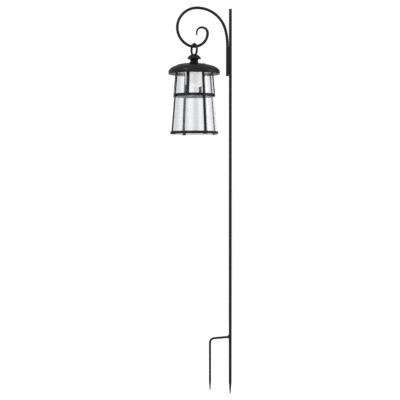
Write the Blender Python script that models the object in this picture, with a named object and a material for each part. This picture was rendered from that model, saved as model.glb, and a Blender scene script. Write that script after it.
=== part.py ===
"""A solar lantern that hangs by a ring from a steel shepherd's hook with a step prong.

Frame: metres, +Z up, origin on the pole's axis at the soil line. The hook reaches out along -X, in the
XZ plane. Every lantern part is modelled about its own axis, with its first post along local +X and its
heights the same as the world's, and is then turned by LANTERN_YAW and moved out to HANG_X.
"""

import math

import bmesh
import bpy
from mathutils import Matrix, Vector

# Fits
GAP = 0.0003
STRAP_GAP = 0.0004

# Pole: three equal sections of 3/8 in rod
POLE_RADIUS = 0.00475
POLE_TOP = 1.0456
SECTION_LENGTH = 0.4064
SECTION_COUNT = 3
POLE_CHAMFER = 0.0005
POINT_LENGTH = 0.0375
POINT_RADIUS = 0.00175
STUD_RADIUS = 0.0025
STUD_LENGTH = 0.030
POLE_SIDES = 16

# Crook: a rod welded beside the pole, rising into a loop that winds into a tapered curl
CROOK_RADIUS = 0.00445
SHANK_BOTTOM = 0.8337
EASE_RADIUS = 0.185
EASE_ANGLE = math.radians(15)
LOOP_X = -0.1057
LOOP_Z = 0.9871
LOOP_RADIUS = 0.062
HANG_X = -0.1144
CURL_RADIUS = 0.0424
CURL_TOP_RADIUS = 0.018
CURL_END_RADIUS = 0.0165
CURL_END_STRAIGHT = 0.009
CURL_TIP_RADIUS = 0.0022
ARC_STEP = math.radians(9)
WELD_LOW = 0.840
WELD_HIGH = 0.926
WELD_DEPTH = 0.0036
WELD_CROWN = 0.0002

# Step prong
PRONG_RADIUS = 0.0036
PRONG_TIP_RADIUS = 0.0015
ARM_START_Z = 0.0070
ARM_DROOP = math.radians(5.2)
PRONG_X = -0.0642
PRONG_BEND = 0.014
PRONG_TIP_Z = -0.1629
PRONG_POINT_LENGTH = 0.027
PRONG_WELD_RADIUS = 0.0062
PRONG_WELD_REACH = 0.0040

# Hanging ring
WIRE_RADIUS = 0.0035
RING_RADIUS = 0.0186

# Finial
LANTERN_YAW = math.radians(-62.5)
CAP_SPHERE = 0.0238
CAP_TOP = 0.9040
CREST_RADIUS = 0.0150
DISC_RADIUS = 0.0217
DISC_UNDERSIDE = 0.8880
DISH_FLOOR = 0.8943
DISH_RADIUS = 0.0098
LUG_HALF_THICKNESS = 0.0035
LUG_HALF_WIDTH = 0.0135
LUG_ROOT = 0.8930
LUG_HOLE = 0.0042
NECK_RADIUS = 0.0127
FOOT_RADIUS = 0.0238
FIXING_RADIUS = 0.0020
FIXING_BORE_TOP = 0.8860
FIXING_BOTTOM = 0.8565

# Roof: three arcs (radius, slope at the start, slope at the end, steps), then a straight skirt
ROOF_SEAT_Z = 0.8733
ROOF_ARCS = (
    (0.190, math.radians(6), math.radians(18), 4),
    (0.0365, math.radians(18), math.radians(50), 4),
    (0.0091, math.radians(50), math.radians(90), 3),
)
ROOF_RIM_Z = 0.8394
ROOF_SHEET = 0.0012
ROOF_SIDES = 36

# Solar cells, in raised frames on the roof
CELL_COUNT = 4
CELL_CENTRE = 0.043
CELL_ACROSS = 0.0220
CELL_ALONG = 0.0180
CELL_THICKNESS = 0.0005
BEZEL_WIDTH = 0.0015
BEZEL_HEIGHT = 0.0011
BEZEL_ROOT = -0.0020
LEAD_RADIUS = 0.0008
LEAD_HOLE = 0.0016
LEAD_ROOF_RADIUS = 0.043
LEAD_BOARD_RADIUS = 0.017
LEAD_RUN_Z = 0.8660

# Cage: a cone of hoops round the glass, with the straps outside the hoops
CAGE_FOOT_Z = 0.6540
CAGE_FOOT_RADIUS = 0.0760
CAGE_TAPER = 0.0862
CAGE_SIDES = 48
SHEET = 0.0018
COLLAR_Z = (0.8462, 0.8532)
COLLAR_BORE = 0.0505
COLLAR_FLANGE = 0.0015
BAND_Z = (0.7685, 0.7774)
BOTTOM_RING_Z = (0.6504, 0.6590)
STRAP_COUNT = 4
STRAP_TOP = 0.8514
POST_FOOT = 0.6492
POST_TAB = 0.0009
LIP_THICKNESS = 0.0012
LIP_CLEARANCE = 0.0004
LIP_TOP = 0.6572
POST_WIDTH_TOP = 0.0076
POST_WIDTH_FOOT = 0.0090
MULLION_WIDTH = 0.0100
GLASS = 0.0022
GLASS_TOP = 0.8480
GASKET_Z = (0.8483, 0.8514)
SEAL_FLOOR_Z = (0.6504, 0.6512)
SEAL_TOP = 0.6572
SEAL_WALL = 0.0010

# Light unit
HOUSING_WALL = 0.0520
HOUSING_BORE = 0.0500
HOUSING_FLANGE = 0.0570
HOUSING_FLANGE_Z = (0.8535, 0.8555)
HOUSING_WEB_Z = (0.8625, 0.8645)
HOUSING_BOSS = 0.0090
HOUSING_SIDES = 36
PLATE_RADIUS = 0.0545
PLATE_Z = (0.8460, 0.8480)
PLATE_RIM = 0.0515
PLATE_RIM_TOP = 0.8514
SCREW_ANGLES = tuple(math.radians(a) for a in (25, 155, 230, 310))
SCREW_CIRCLE = 0.0460
SCREW_RADIUS = 0.0014
SCREW_HEAD = 0.0028
SCREW_HEAD_Z = (0.8441, 0.8457)
SCREW_TOP = 0.8577
SCREW_BOSS = 0.0035
BOARD_SIDE = 0.0400
BOARD_Z = (0.8517, 0.8533)
STANDOFF_RADIUS = 0.0022
STANDOFF_SPACING = 0.0150
LED_RADIUS = 0.0040
LED_Z = (0.8380, 0.8514)
LED_OPENING = 0.0055
DIFFUSER_RADIUS = 0.0285
DIFFUSER_WALL = 0.0015
DIFFUSER_TOP = 0.8457
DIFFUSER_BOTTOM = 0.7995
DIFFUSER_CORNER = 0.0150
DIFFUSER_CROWN = 0.0010
SPIGOT_WALL = 0.0015
SPIGOT_LOW = 0.8405

# Battery bay, beside the diffuser along local +Y
BATTERY_Y = 0.0354
BATTERY_RADIUS = 0.00525
BATTERY_LENGTH = 0.0437
NUB_RADIUS = 0.0019
NUB_LENGTH = 0.0008
BATTERY_Z = 0.85335
CRADLE_WALL = 0.0010
CRADLE_HALF_LENGTH = 0.0258
CRADLE_HALF_WIDTH = 0.0065
CRADLE_TOP = 0.8601
CONTACT_SIZE = 0.0080
CONTACT_THICKNESS = 0.0004
SPRING_WIRE = 0.00032
SPRING_TURNS = 3
SPRING_RADII = (0.0034, 0.0024)
DOOR_OPENING = (0.0246, 0.0054)
DOOR_FLANGE = (0.0270, 0.0064)
DOOR_TAB = (0.0325, 0.0038)
DOOR_Z = (0.8445, 0.8457)
DOOR_PLUG_TOP = 0.8476
DOOR_SCREW_X = 0.0294
DOOR_SCREW_RADIUS = 0.0010
DOOR_SCREW_HEAD = 0.0019
DOOR_SCREW_Z = (0.8431, 0.8442, 0.8520)

# Power switch, beside the diffuser along local -Y
SWITCH_Y = -0.0405
SWITCH_BODY = (0.0120, 0.0060)
SWITCH_BODY_Z = (0.8483, 0.8533)
SWITCH_RECESS_TOP = 0.8498
SWITCH_TRAVEL = 0.003
SLIDER_GRIP_HALF = 0.00225
SLIDER_STEM_HALF = 0.0012
SLIDER_HALF_DEPTH = 0.0011
SLIDER_Z = (0.8440, 0.8456, 0.8494)

SCREW_SIDES = 10


def clear_scene():
    for item in list(bpy.data.objects):
        bpy.data.objects.remove(item)


def finish(name, colour, roughness, metallic=0.0, alpha=1.0):
    """A plain Principled material."""
    material = bpy.data.materials.new(name)
    material.use_nodes = True
    shader = material.node_tree.nodes["Principled BSDF"]
    shader.inputs["Base Color"].default_value = (*colour, 1.0)
    shader.inputs["Roughness"].default_value = roughness
    shader.inputs["Metallic"].default_value = metallic
    shader.inputs["Alpha"].default_value = alpha
    return material


def black_paint(name):
    return finish(name, (0.018, 0.018, 0.020), 0.28)


def zinc(name):
    return finish(name, (0.55, 0.56, 0.58), 0.35, metallic=1.0)


def pale_plastic(name):
    return finish(name, (0.80, 0.79, 0.76), 0.45)


def solid(name, bm, material):
    """One object from a bmesh, faces outward, smooth except at its real edges."""
    bmesh.ops.recalc_face_normals(bm, faces=bm.faces)
    mesh = bpy.data.meshes.new(name)
    bm.to_mesh(mesh)
    bm.free()
    mesh.shade_smooth()
    mesh.set_sharp_from_angle(angle=math.radians(35))
    mesh.materials.append(material)
    item = bpy.data.objects.new(name, mesh)
    bpy.context.scene.collection.objects.link(item)
    return item


def turned(name, outline, material, sides=24, matrix=None):
    """A solid turned about Z from (radius, height) points: a loop, or a chain between two axis points."""
    bm = bmesh.new()
    verts = [bm.verts.new((radius, 0.0, height)) for radius, height in outline]
    hollow = all(radius > 0 for radius, _ in outline)
    followers = verts[1:] + (verts[:1] if hollow else [])
    edges = [bm.edges.new(pair) for pair in zip(verts, followers)]
    bmesh.ops.spin(
        bm, geom=verts + edges, axis=(0, 0, 1), cent=(0, 0, 0), angle=math.tau, steps=sides, use_merge=True
    )
    bmesh.ops.remove_doubles(bm, verts=bm.verts, dist=1e-6)
    if matrix is not None:
        bmesh.ops.transform(bm, matrix=matrix, verts=bm.verts)
    return solid(name, bm, material)


def prism(name, outline, low, high, material, matrix=None):
    """A solid extruded along Z from an outline of (x, y) points."""
    bm = bmesh.new()
    base = bm.faces.new([bm.verts.new((x, y, low)) for x, y in outline])
    grown = bmesh.ops.extrude_face_region(bm, geom=[base])
    raised = [item for item in grown["geom"] if isinstance(item, bmesh.types.BMVert)]
    bmesh.ops.translate(bm, vec=(0, 0, high - low), verts=raised)
    if matrix is not None:
        bmesh.ops.transform(bm, matrix=matrix, verts=bm.verts)
    return solid(name, bm, material)


def rectangle(half_x, half_y, centre_x=0.0, centre_y=0.0):
    corners = ((-1, -1), (1, -1), (1, 1), (-1, 1))
    return [(centre_x + sx * half_x, centre_y + sy * half_y) for sx, sy in corners]


def rod(name, path, radii, material, resolution=3):
    """A round rod along a path of points, with its own radius at each point."""
    curve = bpy.data.curves.new(name, "CURVE")
    curve.dimensions = "3D"
    curve.bevel_depth = max(radii)
    curve.bevel_resolution = resolution
    curve.render_resolution_u = 0
    curve.use_fill_caps = True
    spline = curve.splines.new("POLY")
    spline.points.add(len(path) - 1)
    for point, place, radius in zip(spline.points, path, radii):
        point.co = (*place, 1.0)
        point.radius = radius / curve.bevel_depth
    curve.materials.append(material)
    item = bpy.data.objects.new(name, curve)
    bpy.context.scene.collection.objects.link(item)
    return item


def combine(item, tool, operation="DIFFERENCE"):
    """Cuts or joins item with tool, which becomes a hidden guide."""
    tool.hide_render = True
    tool.display_type = "WIRE"
    modifier = item.modifiers.new(operation.title(), "BOOLEAN")
    modifier.operation = operation
    modifier.object = tool
    return item


def drill(item, radius, low, high, x=0.0, y=0.0):
    """Drills a round hole along Z."""
    outline = [(0, low), (radius, low), (radius, high), (0, high)]
    tool = turned(
        item.name + "_drill", outline, item.active_material, SCREW_SIDES, Matrix.Translation((x, y, 0))
    )
    return combine(item, tool)


def arc(centre, radius, start, end, steps):
    """Points on a circle from angle start to angle end, both included."""
    angles = [start + (end - start) * i / steps for i in range(steps + 1)]
    return [(centre[0] + radius * math.cos(a), centre[1] + radius * math.sin(a)) for a in angles]


def walk(start, heading, moves):
    """(x, z, distance) points of a path of straights and left-hand arcs; a move is (radius, turn) or (None, length)."""
    x, z = start
    distance = 0.0
    points = [(x, z, distance)]
    for radius, amount in moves:
        if radius is None:
            x += amount * math.cos(heading)
            z += amount * math.sin(heading)
            distance += amount
            points.append((x, z, distance))
            continue
        steps = max(1, math.ceil(amount / ARC_STEP))
        centre = (x - radius * math.sin(heading), z + radius * math.cos(heading))
        for i in range(1, steps + 1):
            turn = heading + amount * i / steps
            point = (centre[0] + radius * math.sin(turn), centre[1] - radius * math.cos(turn))
            points.append((*point, distance + radius * amount * i / steps))
        x, z, distance = points[-1]
        heading += amount
    return points


def cage_radius(height):
    """Outer radius of the cage's hoops at a height."""
    return CAGE_FOOT_RADIUS - CAGE_TAPER * (height - CAGE_FOOT_Z)


def strap_radius(height):
    """Inner radius of the straps, outside the hoops."""
    return cage_radius(height) + STRAP_GAP


def glass_radius(height):
    """Outer radius of the glass, inside the hoops."""
    return cage_radius(height) - SHEET - GAP


# Stand


def pole_levels():
    """Heights of the pole sections' ends, top first."""
    return [POLE_TOP - SECTION_LENGTH * i for i in range(SECTION_COUNT + 1)]


def stud_bore(end, direction):
    """Outline points of a blind stud bore, from the rod's end inward along direction."""
    depth = STUD_LENGTH / 2 + GAP
    bore = STUD_RADIUS + GAP
    return [(bore, end), (bore, end + direction * depth), (0, end + direction * depth)]


def pole_upper(levels):
    bottom = levels[1] + GAP / 2
    outline = [(0, levels[0]), (POLE_RADIUS - POLE_CHAMFER, levels[0]), (POLE_RADIUS, levels[0] - POLE_CHAMFER)]
    outline += [(POLE_RADIUS, bottom)] + stud_bore(bottom, 1)
    return turned("pole_upper", outline, black_paint("pole_upper"), POLE_SIDES)


def pole_middle(levels):
    top = levels[1] - GAP / 2
    bottom = levels[2] + GAP / 2
    outline = stud_bore(top, -1)[::-1] + [(POLE_RADIUS, top), (POLE_RADIUS, bottom)] + stud_bore(bottom, 1)
    return turned("pole_middle", outline, black_paint("pole_middle"), POLE_SIDES)


def pole_stake(levels):
    top = levels[2] - GAP / 2
    tip = levels[3]
    outline = stud_bore(top, -1)[::-1] + [(POLE_RADIUS, top), (POLE_RADIUS, tip + POINT_LENGTH)]
    outline += [(POINT_RADIUS, tip), (0, tip)]
    return turned("pole_stake", outline, black_paint("pole_stake"), POLE_SIDES)


def pole_stud(name, level):
    low = level - STUD_LENGTH / 2
    high = level + STUD_LENGTH / 2
    tip = STUD_RADIUS - POLE_CHAMFER
    outline = [(0, high), (tip, high), (STUD_RADIUS, high - POLE_CHAMFER)]
    outline += [(STUD_RADIUS, low + POLE_CHAMFER), (tip, low), (0, low)]
    return turned(name, outline, zinc(name), SCREW_SIDES)


def shank_x():
    return -(POLE_RADIUS + GAP + CROOK_RADIUS)


def curl_start():
    """Angle on the loop where the curl begins, so that the curl's lowest point hangs at HANG_X."""
    return math.tau - math.acos((HANG_X - LOOP_X) / (LOOP_RADIUS - CURL_RADIUS))


def crook_path():
    """(x, z, distance) along the crook, and the distance at which its taper begins."""
    rise_radius = (shank_x() - LOOP_X - EASE_RADIUS * (1 - math.cos(EASE_ANGLE))) / math.cos(EASE_ANGLE)
    rise_start = LOOP_Z + LOOP_RADIUS - rise_radius * (1 - math.sin(EASE_ANGLE))
    rise_start -= EASE_RADIUS * math.sin(EASE_ANGLE)
    quarter = math.pi / 2
    moves = [
        (None, rise_start - SHANK_BOTTOM),
        (EASE_RADIUS, EASE_ANGLE),
        (rise_radius, quarter - EASE_ANGLE),
        (LOOP_RADIUS, curl_start() - quarter),
        (CURL_RADIUS, math.tau - curl_start()),
    ]
    start = (shank_x(), SHANK_BOTTOM)
    taper_start = walk(start, quarter, moves)[-1][2]
    moves += [
        (CURL_TOP_RADIUS, quarter),
        (CURL_END_RADIUS, quarter),
        (None, CURL_END_STRAIGHT),
    ]
    return walk(start, quarter, moves), taper_start


def crook_radius(distance, taper_start, length):
    """The crook's rod thins evenly from the side of its curl to its tip."""
    share = max(0.0, (distance - taper_start) / (length - taper_start))
    return CROOK_RADIUS + (CURL_TIP_RADIUS - CROOK_RADIUS) * share


def crook_hook():
    points, taper_start = crook_path()
    length = points[-1][2]
    radii = [crook_radius(distance, taper_start, length) for _, _, distance in points]
    path = [(x, 0.0, z) for x, z, _ in points]
    return rod("crook_hook", path, radii, black_paint("crook_hook"))


def hang_height():
    """Height of the rod's centre line at the bottom of the hook."""
    return LOOP_Z + (LOOP_RADIUS - CURL_RADIUS) * math.sin(curl_start()) - CURL_RADIUS


def hook_weld(name, side):
    """A weld bead in the groove between the pole and the shank; side is -1 in front and 1 behind."""
    pole_face = POLE_RADIUS + GAP
    rod_face = CROOK_RADIUS + GAP
    spacing = -shank_x()
    root = (pole_face**2 - rod_face**2 + spacing**2) / (2 * spacing)
    root_y = math.sqrt(pole_face**2 - root**2) + WELD_CROWN
    steps = [root_y + (WELD_DEPTH - root_y) * i / 3 for i in range(1, 4)]
    pole_side = [(-math.sqrt(pole_face**2 - y**2), y) for y in steps]
    rod_side = [(-spacing + math.sqrt(rod_face**2 - y**2), y) for y in steps]
    crown = [(-root, WELD_DEPTH + WELD_CROWN)]
    outline = [(-root, root_y)] + pole_side + crown + rod_side[::-1]
    outline = [(x, side * y) for x, y in outline]
    return prism(name, outline, WELD_LOW, WELD_HIGH, black_paint(name))


def prong_path():
    """(x, z, distance) along the step prong, from the pole to the tip."""
    start_x = -(POLE_RADIUS + 2 * GAP)
    heading = math.pi + ARM_DROOP
    bend_x = PRONG_BEND * (1 + math.sin(heading))
    arm = (start_x - PRONG_X - bend_x) / math.cos(ARM_DROOP)
    bend = math.pi / 2 - ARM_DROOP
    elbow_z = ARM_START_Z - arm * math.sin(ARM_DROOP) - PRONG_BEND * math.cos(ARM_DROOP)
    straight = elbow_z - PRONG_TIP_Z - PRONG_POINT_LENGTH
    moves = [(None, arm), (PRONG_BEND, bend), (None, straight), (None, PRONG_POINT_LENGTH)]
    return walk((start_x, ARM_START_Z), heading, moves)


def step_prong():
    points = prong_path()
    radii = [PRONG_RADIUS] * (len(points) - 1) + [PRONG_TIP_RADIUS]
    path = [(x, 0.0, z) for x, z, _ in points]
    return rod("step_prong", path, radii, black_paint("step_prong"), resolution=4)


def prong_weld():
    bore = PRONG_RADIUS + GAP
    outline = [
        (bore, -POLE_RADIUS),
        (PRONG_WELD_RADIUS, -POLE_RADIUS),
        (PRONG_WELD_RADIUS, 0.0),
        (bore + GAP, PRONG_WELD_REACH),
        (bore, PRONG_WELD_REACH),
    ]
    along_arm = Matrix.Rotation(-math.pi / 2 - ARM_DROOP, 4, "Y")
    place = Matrix.Translation((-POLE_RADIUS, 0.0, ARM_START_Z)) @ along_arm
    weld = turned("prong_weld", outline, black_paint("prong_weld"), POLE_SIDES, place)
    high = ARM_START_Z + 2 * PRONG_WELD_RADIUS
    low = ARM_START_Z - 2 * PRONG_WELD_RADIUS
    face = POLE_RADIUS + GAP
    pole = [(0, high), (face, high), (face, low), (0, low)]
    return combine(weld, turned("pole_envelope", pole, weld.active_material, 2 * POLE_SIDES))


# Hanging ring


def ring_height():
    """Height of the ring's centre when it rests on the hook."""
    return hang_height() + CROOK_RADIUS + GAP - (RING_RADIUS - WIRE_RADIUS)


def hanging_ring():
    wire = arc((RING_RADIUS, 0.0), WIRE_RADIUS, 0.0, math.tau, 10)[:-1]
    upright = Matrix.Translation((0, 0, ring_height())) @ Matrix.Rotation(math.pi / 2, 4, "X")
    return turned("hanging_ring", wire, black_paint("hanging_ring"), 32, upright)


# Finial and its fixing


def finial_outline():
    """The turned body: dished cap, disc, beaded neck and flared foot, with a blind bore beneath."""
    centre = (0.0, CAP_TOP - CAP_SPHERE)
    crest = math.acos(CREST_RADIUS / CAP_SPHERE)
    edge = math.acos(DISC_RADIUS / CAP_SPHERE)
    bead = (NECK_RADIUS - 0.0004, 0.8829)
    flare = (NECK_RADIUS + 0.0075, 0.8825)
    outline = [(0, DISH_FLOOR), (DISH_RADIUS, DISH_FLOOR)]
    outline += arc(centre, CAP_SPHERE, crest, edge, 3)
    outline += [(DISC_RADIUS, DISC_UNDERSIDE + GAP), (DISC_RADIUS - GAP, DISC_UNDERSIDE)]
    outline += [(0.0162, 0.8873), (0.0140, 0.8864), (NECK_RADIUS, 0.8845)]
    outline += arc(bead, 0.0010, math.pi / 3, -math.pi / 3, 2)
    outline += [(NECK_RADIUS - 0.0006, 0.8812), (NECK_RADIUS - 0.0006, 0.8795)]
    outline += arc(flare, 0.0075, math.radians(205), math.radians(262), 3)
    outline += [(FOOT_RADIUS, 0.8746), (FOOT_RADIUS, ROOF_SEAT_Z + GAP)]
    bore = FIXING_RADIUS + GAP
    outline += [(bore, ROOF_SEAT_Z + GAP), (bore, FIXING_BORE_TOP), (0, FIXING_BORE_TOP)]
    return outline


def lug_hole_height():
    """The ring's wire, which curves up at the lug's faces, just clears the top of the hole."""
    bore = RING_RADIUS - WIRE_RADIUS
    wire_top = ring_height() - math.sqrt(bore**2 - LUG_HALF_THICKNESS**2)
    return wire_top + GAP - LUG_HOLE


def finial():
    material = black_paint("finial")
    body = turned("finial", finial_outline(), material)
    centre = CAP_TOP - CAP_SPHERE
    half_turn = math.asin(LUG_HALF_WIDTH / CAP_SPHERE)
    top = arc((0.0, centre), CAP_SPHERE, math.pi / 2 - half_turn, math.pi / 2 + half_turn, 8)
    outline = [(-LUG_HALF_WIDTH, LUG_ROOT), (LUG_HALF_WIDTH, LUG_ROOT)] + top
    # Stands the lug's outline up in the local YZ plane, with its thickness along X.
    upright = Matrix(((0, 0, 1, 0), (1, 0, 0, 0), (0, 1, 0, 0), (0, 0, 0, 1)))
    lug = prism("finial_lug", outline, -LUG_HALF_THICKNESS, LUG_HALF_THICKNESS, material, upright)
    combine(body, lug, "UNION")
    reach = CREST_RADIUS
    hole = [(0, -reach), (LUG_HOLE, -reach), (LUG_HOLE, reach), (0, reach)]
    along = Matrix.Translation((0, 0, lug_hole_height())) @ Matrix.Rotation(math.pi / 2, 4, "Y")
    short = Matrix.Diagonal((1, 1, 2 * LUG_HALF_THICKNESS / reach, 1))
    return combine(body, turned("finial_hole", hole, material, 16, along @ short))


def finial_stud():
    top = FIXING_BORE_TOP - GAP
    outline = [(0, top), (FIXING_RADIUS, top), (FIXING_RADIUS, FIXING_BOTTOM), (0, FIXING_BOTTOM)]
    return turned("finial_stud", outline, zinc("finial_stud"), SCREW_SIDES)


def finial_washer():
    high = HOUSING_WEB_Z[0] - GAP
    low = high - 0.0008
    inner = FIXING_RADIUS + GAP
    outer = 0.0045
    outline = [(inner, high), (outer, high), (outer, low), (inner, low)]
    return turned("finial_washer", outline, zinc("finial_washer"), 16)


def finial_nut():
    """An M4 hexagon nut, 7 mm across its flats."""
    high = HOUSING_WEB_Z[0] - GAP - 0.0008 - GAP
    corner = 0.0035 / math.cos(math.pi / 6)
    hexagon = arc((0.0, 0.0), corner, 0.0, math.tau, 6)[:-1]
    nut = prism("finial_nut", hexagon, high - 0.0032, high, zinc("finial_nut"))
    return drill(nut, FIXING_RADIUS + GAP, high - 0.004, high + 0.001)


# Roof and solar cells


def roof_line(offset=0.0, start=FOOT_RADIUS):
    """The roof's outline from its seat to its rim, moved inward by offset along its normal."""
    radius = start
    height = ROOF_SEAT_Z
    points = [(radius - offset * math.sin(ROOF_ARCS[0][1]), height - offset * math.cos(ROOF_ARCS[0][1]))]
    for bend, first, last, steps in ROOF_ARCS:
        for i in range(1, steps + 1):
            slope = first + (last - first) * i / steps
            x = radius + bend * (math.sin(slope) - math.sin(first))
            z = height - bend * (math.cos(first) - math.cos(slope))
            points.append((x - offset * math.sin(slope), z - offset * math.cos(slope)))
        radius += bend * (math.sin(last) - math.sin(first))
        height -= bend * (math.cos(first) - math.cos(last))
    return points + [(points[-1][0], ROOF_RIM_Z)]


def roof_point(radius):
    """Height and slope of the roof's outer face at a radius on its top arc."""
    bend, first, _, _ = ROOF_ARCS[0]
    slope = math.asin(math.sin(first) + (radius - FOOT_RADIUS) / bend)
    return ROOF_SEAT_Z - bend * (math.cos(first) - math.cos(slope)), slope


def around(index, count, offset=0.0):
    return Matrix.Rotation(math.tau * index / count + offset, 4, "Z")


def roof_cap():
    bore = FIXING_RADIUS + 2 * GAP
    outer = [(bore, ROOF_SEAT_Z)] + roof_line()
    inner = roof_line(ROOF_SHEET)[::-1] + [(bore, ROOF_SEAT_Z - ROOF_SHEET)]
    cap = turned("roof_cap", outer + inner, black_paint("roof_cap"), ROOF_SIDES)
    height, _ = roof_point(LEAD_ROOF_RADIUS)
    for i in range(CELL_COUNT):
        place = around(i, CELL_COUNT) @ Vector((LEAD_ROOF_RADIUS, 0, 0))
        drill(cap, LEAD_HOLE, height - 0.005, height + 0.005, place.x, place.y)
    return cap


def cell_place(index):
    """Matrix of a solar cell's seat: tangent to the roof, local X down the slope."""
    height, slope = roof_point(CELL_CENTRE)
    tilt = Matrix.Rotation(slope, 4, "Y")
    return around(index, CELL_COUNT) @ Matrix.Translation((CELL_CENTRE, 0, height)) @ tilt


def solar_cell(index):
    name = f"solar_cell_{index + 1}"
    material = finish(name, (0.010, 0.014, 0.035), 0.12)
    outline = rectangle(CELL_ALONG / 2, CELL_ACROSS / 2)
    low = 2 * GAP
    return prism(name, outline, low, low + CELL_THICKNESS, material, cell_place(index))


def roof_envelope():
    """Everything inside the roof's outer face, with a gap, that cuts the frames' seats."""
    outline = [(0, ROOF_SEAT_Z + GAP)] + roof_line(-GAP) + [(0, ROOF_RIM_Z)]
    return turned("roof_envelope", outline, black_paint("roof_envelope"), ROOF_SIDES)


def solar_bezel(index, envelope):
    name = f"solar_bezel_{index + 1}"
    material = black_paint(name)
    inner = (CELL_ALONG / 2 + GAP, CELL_ACROSS / 2 + GAP)
    outer = (inner[0] + BEZEL_WIDTH, inner[1] + BEZEL_WIDTH)
    frame = prism(name, rectangle(*outer), BEZEL_ROOT, BEZEL_HEIGHT, material, cell_place(index))
    window = prism(
        name + "_window", rectangle(*inner), 2 * BEZEL_ROOT, 2 * BEZEL_HEIGHT, material, cell_place(index)
    )
    combine(frame, window)
    return combine(frame, envelope)


def solar_lead(index):
    """A two-core lead from a cell's underside, through the roof and the housing, to the board."""
    name = f"solar_lead_{index + 1}"
    height, _ = roof_point(LEAD_ROOF_RADIUS)
    knee = 0.0022
    route = [
        (LEAD_ROOF_RADIUS, height + GAP),
        (LEAD_ROOF_RADIUS, LEAD_RUN_Z + knee),
        (LEAD_ROOF_RADIUS - 0.3 * knee, LEAD_RUN_Z + 0.3 * knee),
        (LEAD_ROOF_RADIUS - knee, LEAD_RUN_Z),
        (LEAD_BOARD_RADIUS + knee, LEAD_RUN_Z),
        (LEAD_BOARD_RADIUS + 0.3 * knee, LEAD_RUN_Z - 0.3 * knee),
        (LEAD_BOARD_RADIUS, LEAD_RUN_Z - knee),
        (LEAD_BOARD_RADIUS, BOARD_Z[1] + GAP),
    ]
    path = [around(index, CELL_COUNT) @ Vector((radius, 0, z)) for radius, z in route]
    material = finish(name, (0.35, 0.03, 0.03), 0.5)
    return rod(name, path, [LEAD_RADIUS] * len(path), material, resolution=1)


# Cage


def hoop(name, levels):
    """A flat hoop on the cage's cone."""
    low, high = levels
    outline = [
        (cage_radius(high), high),
        (cage_radius(low), low),
        (cage_radius(low) - SHEET, low),
        (cage_radius(high) - SHEET, high),
    ]
    return turned(name, outline, black_paint(name), CAGE_SIDES)


def cage_collar():
    low, high = COLLAR_Z
    under = high - COLLAR_FLANGE
    outline = [
        (COLLAR_BORE, high),
        (cage_radius(high), high),
        (cage_radius(low), low),
        (cage_radius(low) - SHEET, low),
        (cage_radius(under) - SHEET, under),
        (COLLAR_BORE, under),
    ]
    return turned("cage_collar", outline, black_paint("cage_collar"), CAGE_SIDES)


def strap(name, outline, widths, angle):
    """A flat strap: an outline of (radius, height) points spread sideways to a width at each height."""
    bm = bmesh.new()
    low = min(z for _, z in outline)
    high = max(z for _, z in outline)
    sides = []
    for sign in (-1, 1):
        points = []
        for radius, z in outline:
            width = widths[0] + (widths[1] - widths[0]) * (z - low) / (high - low)
            points.append(bm.verts.new((radius, sign * width / 2, z)))
        sides.append(points)
        bm.faces.new(points)
    count = len(outline)
    for i in range(count):
        j = (i + 1) % count
        bm.faces.new((sides[0][i], sides[0][j], sides[1][j], sides[1][i]))
    bmesh.ops.transform(bm, matrix=Matrix.Rotation(angle, 4, "Z"), verts=bm.verts)
    return solid(name, bm, black_paint(name))


def post(index):
    """A full-height strap whose foot is folded under the glass and up inside it as a lip."""
    tab_top = POST_FOOT + POST_TAB
    lip_outer = glass_radius(LIP_TOP) - GLASS - SEAL_WALL - 2 * GAP - LIP_CLEARANCE
    lip_inner = lip_outer - LIP_THICKNESS
    outline = [
        (strap_radius(STRAP_TOP) + SHEET, STRAP_TOP),
        (strap_radius(POST_FOOT) + SHEET, POST_FOOT),
        (lip_inner, POST_FOOT),
        (lip_inner, LIP_TOP),
        (lip_outer, LIP_TOP),
        (lip_outer, tab_top),
        (strap_radius(tab_top), tab_top),
        (strap_radius(STRAP_TOP), STRAP_TOP),
    ]
    angle = math.tau * index / STRAP_COUNT
    return strap(f"post_{index + 1}", outline, (POST_WIDTH_FOOT, POST_WIDTH_TOP), angle)


def mullion(index):
    """A strap from the collar to the middle band, halfway between two posts."""
    foot = BAND_Z[0]
    outline = [
        (strap_radius(STRAP_TOP) + SHEET, STRAP_TOP),
        (strap_radius(foot) + SHEET, foot),
        (strap_radius(foot), foot),
        (strap_radius(STRAP_TOP), STRAP_TOP),
    ]
    angle = math.tau * (index + 0.5) / STRAP_COUNT
    return strap(f"mullion_{index + 1}", outline, (MULLION_WIDTH, MULLION_WIDTH), angle)


def glass_shade():
    low = SEAL_FLOOR_Z[1] + GAP
    outline = [
        (glass_radius(GLASS_TOP), GLASS_TOP),
        (glass_radius(low), low),
        (glass_radius(low) - GLASS, low),
        (glass_radius(GLASS_TOP) - GLASS, GLASS_TOP),
    ]
    material = finish("glass_shade", (0.95, 0.96, 0.98), 0.03, alpha=0.25)
    return turned("glass_shade", outline, material, CAGE_SIDES)


def pale_rubber(name):
    return finish(name, (0.55, 0.55, 0.54), 0.7)


def glass_gasket():
    low, high = GASKET_Z
    outer = glass_radius(GLASS_TOP) - GAP
    inner = outer - GLASS + 2 * GAP
    outline = [(outer, high), (outer, low), (inner, low), (inner, high)]
    return turned("glass_gasket", outline, pale_rubber("glass_gasket"), CAGE_SIDES)


def foot_seal():
    """An L-shaped seal that lies under the glass's foot and stands up against its inner face."""
    low, floor = SEAL_FLOOR_Z
    inset = GLASS + GAP
    outline = [
        (glass_radius(low), low),
        (glass_radius(floor), floor),
        (glass_radius(floor) - inset, floor),
        (glass_radius(SEAL_TOP) - inset, SEAL_TOP),
        (glass_radius(SEAL_TOP) - inset - SEAL_WALL, SEAL_TOP),
        (glass_radius(low) - inset - SEAL_WALL, low),
    ]
    return turned("foot_seal", outline, pale_rubber("foot_seal"), CAGE_SIDES)


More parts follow.
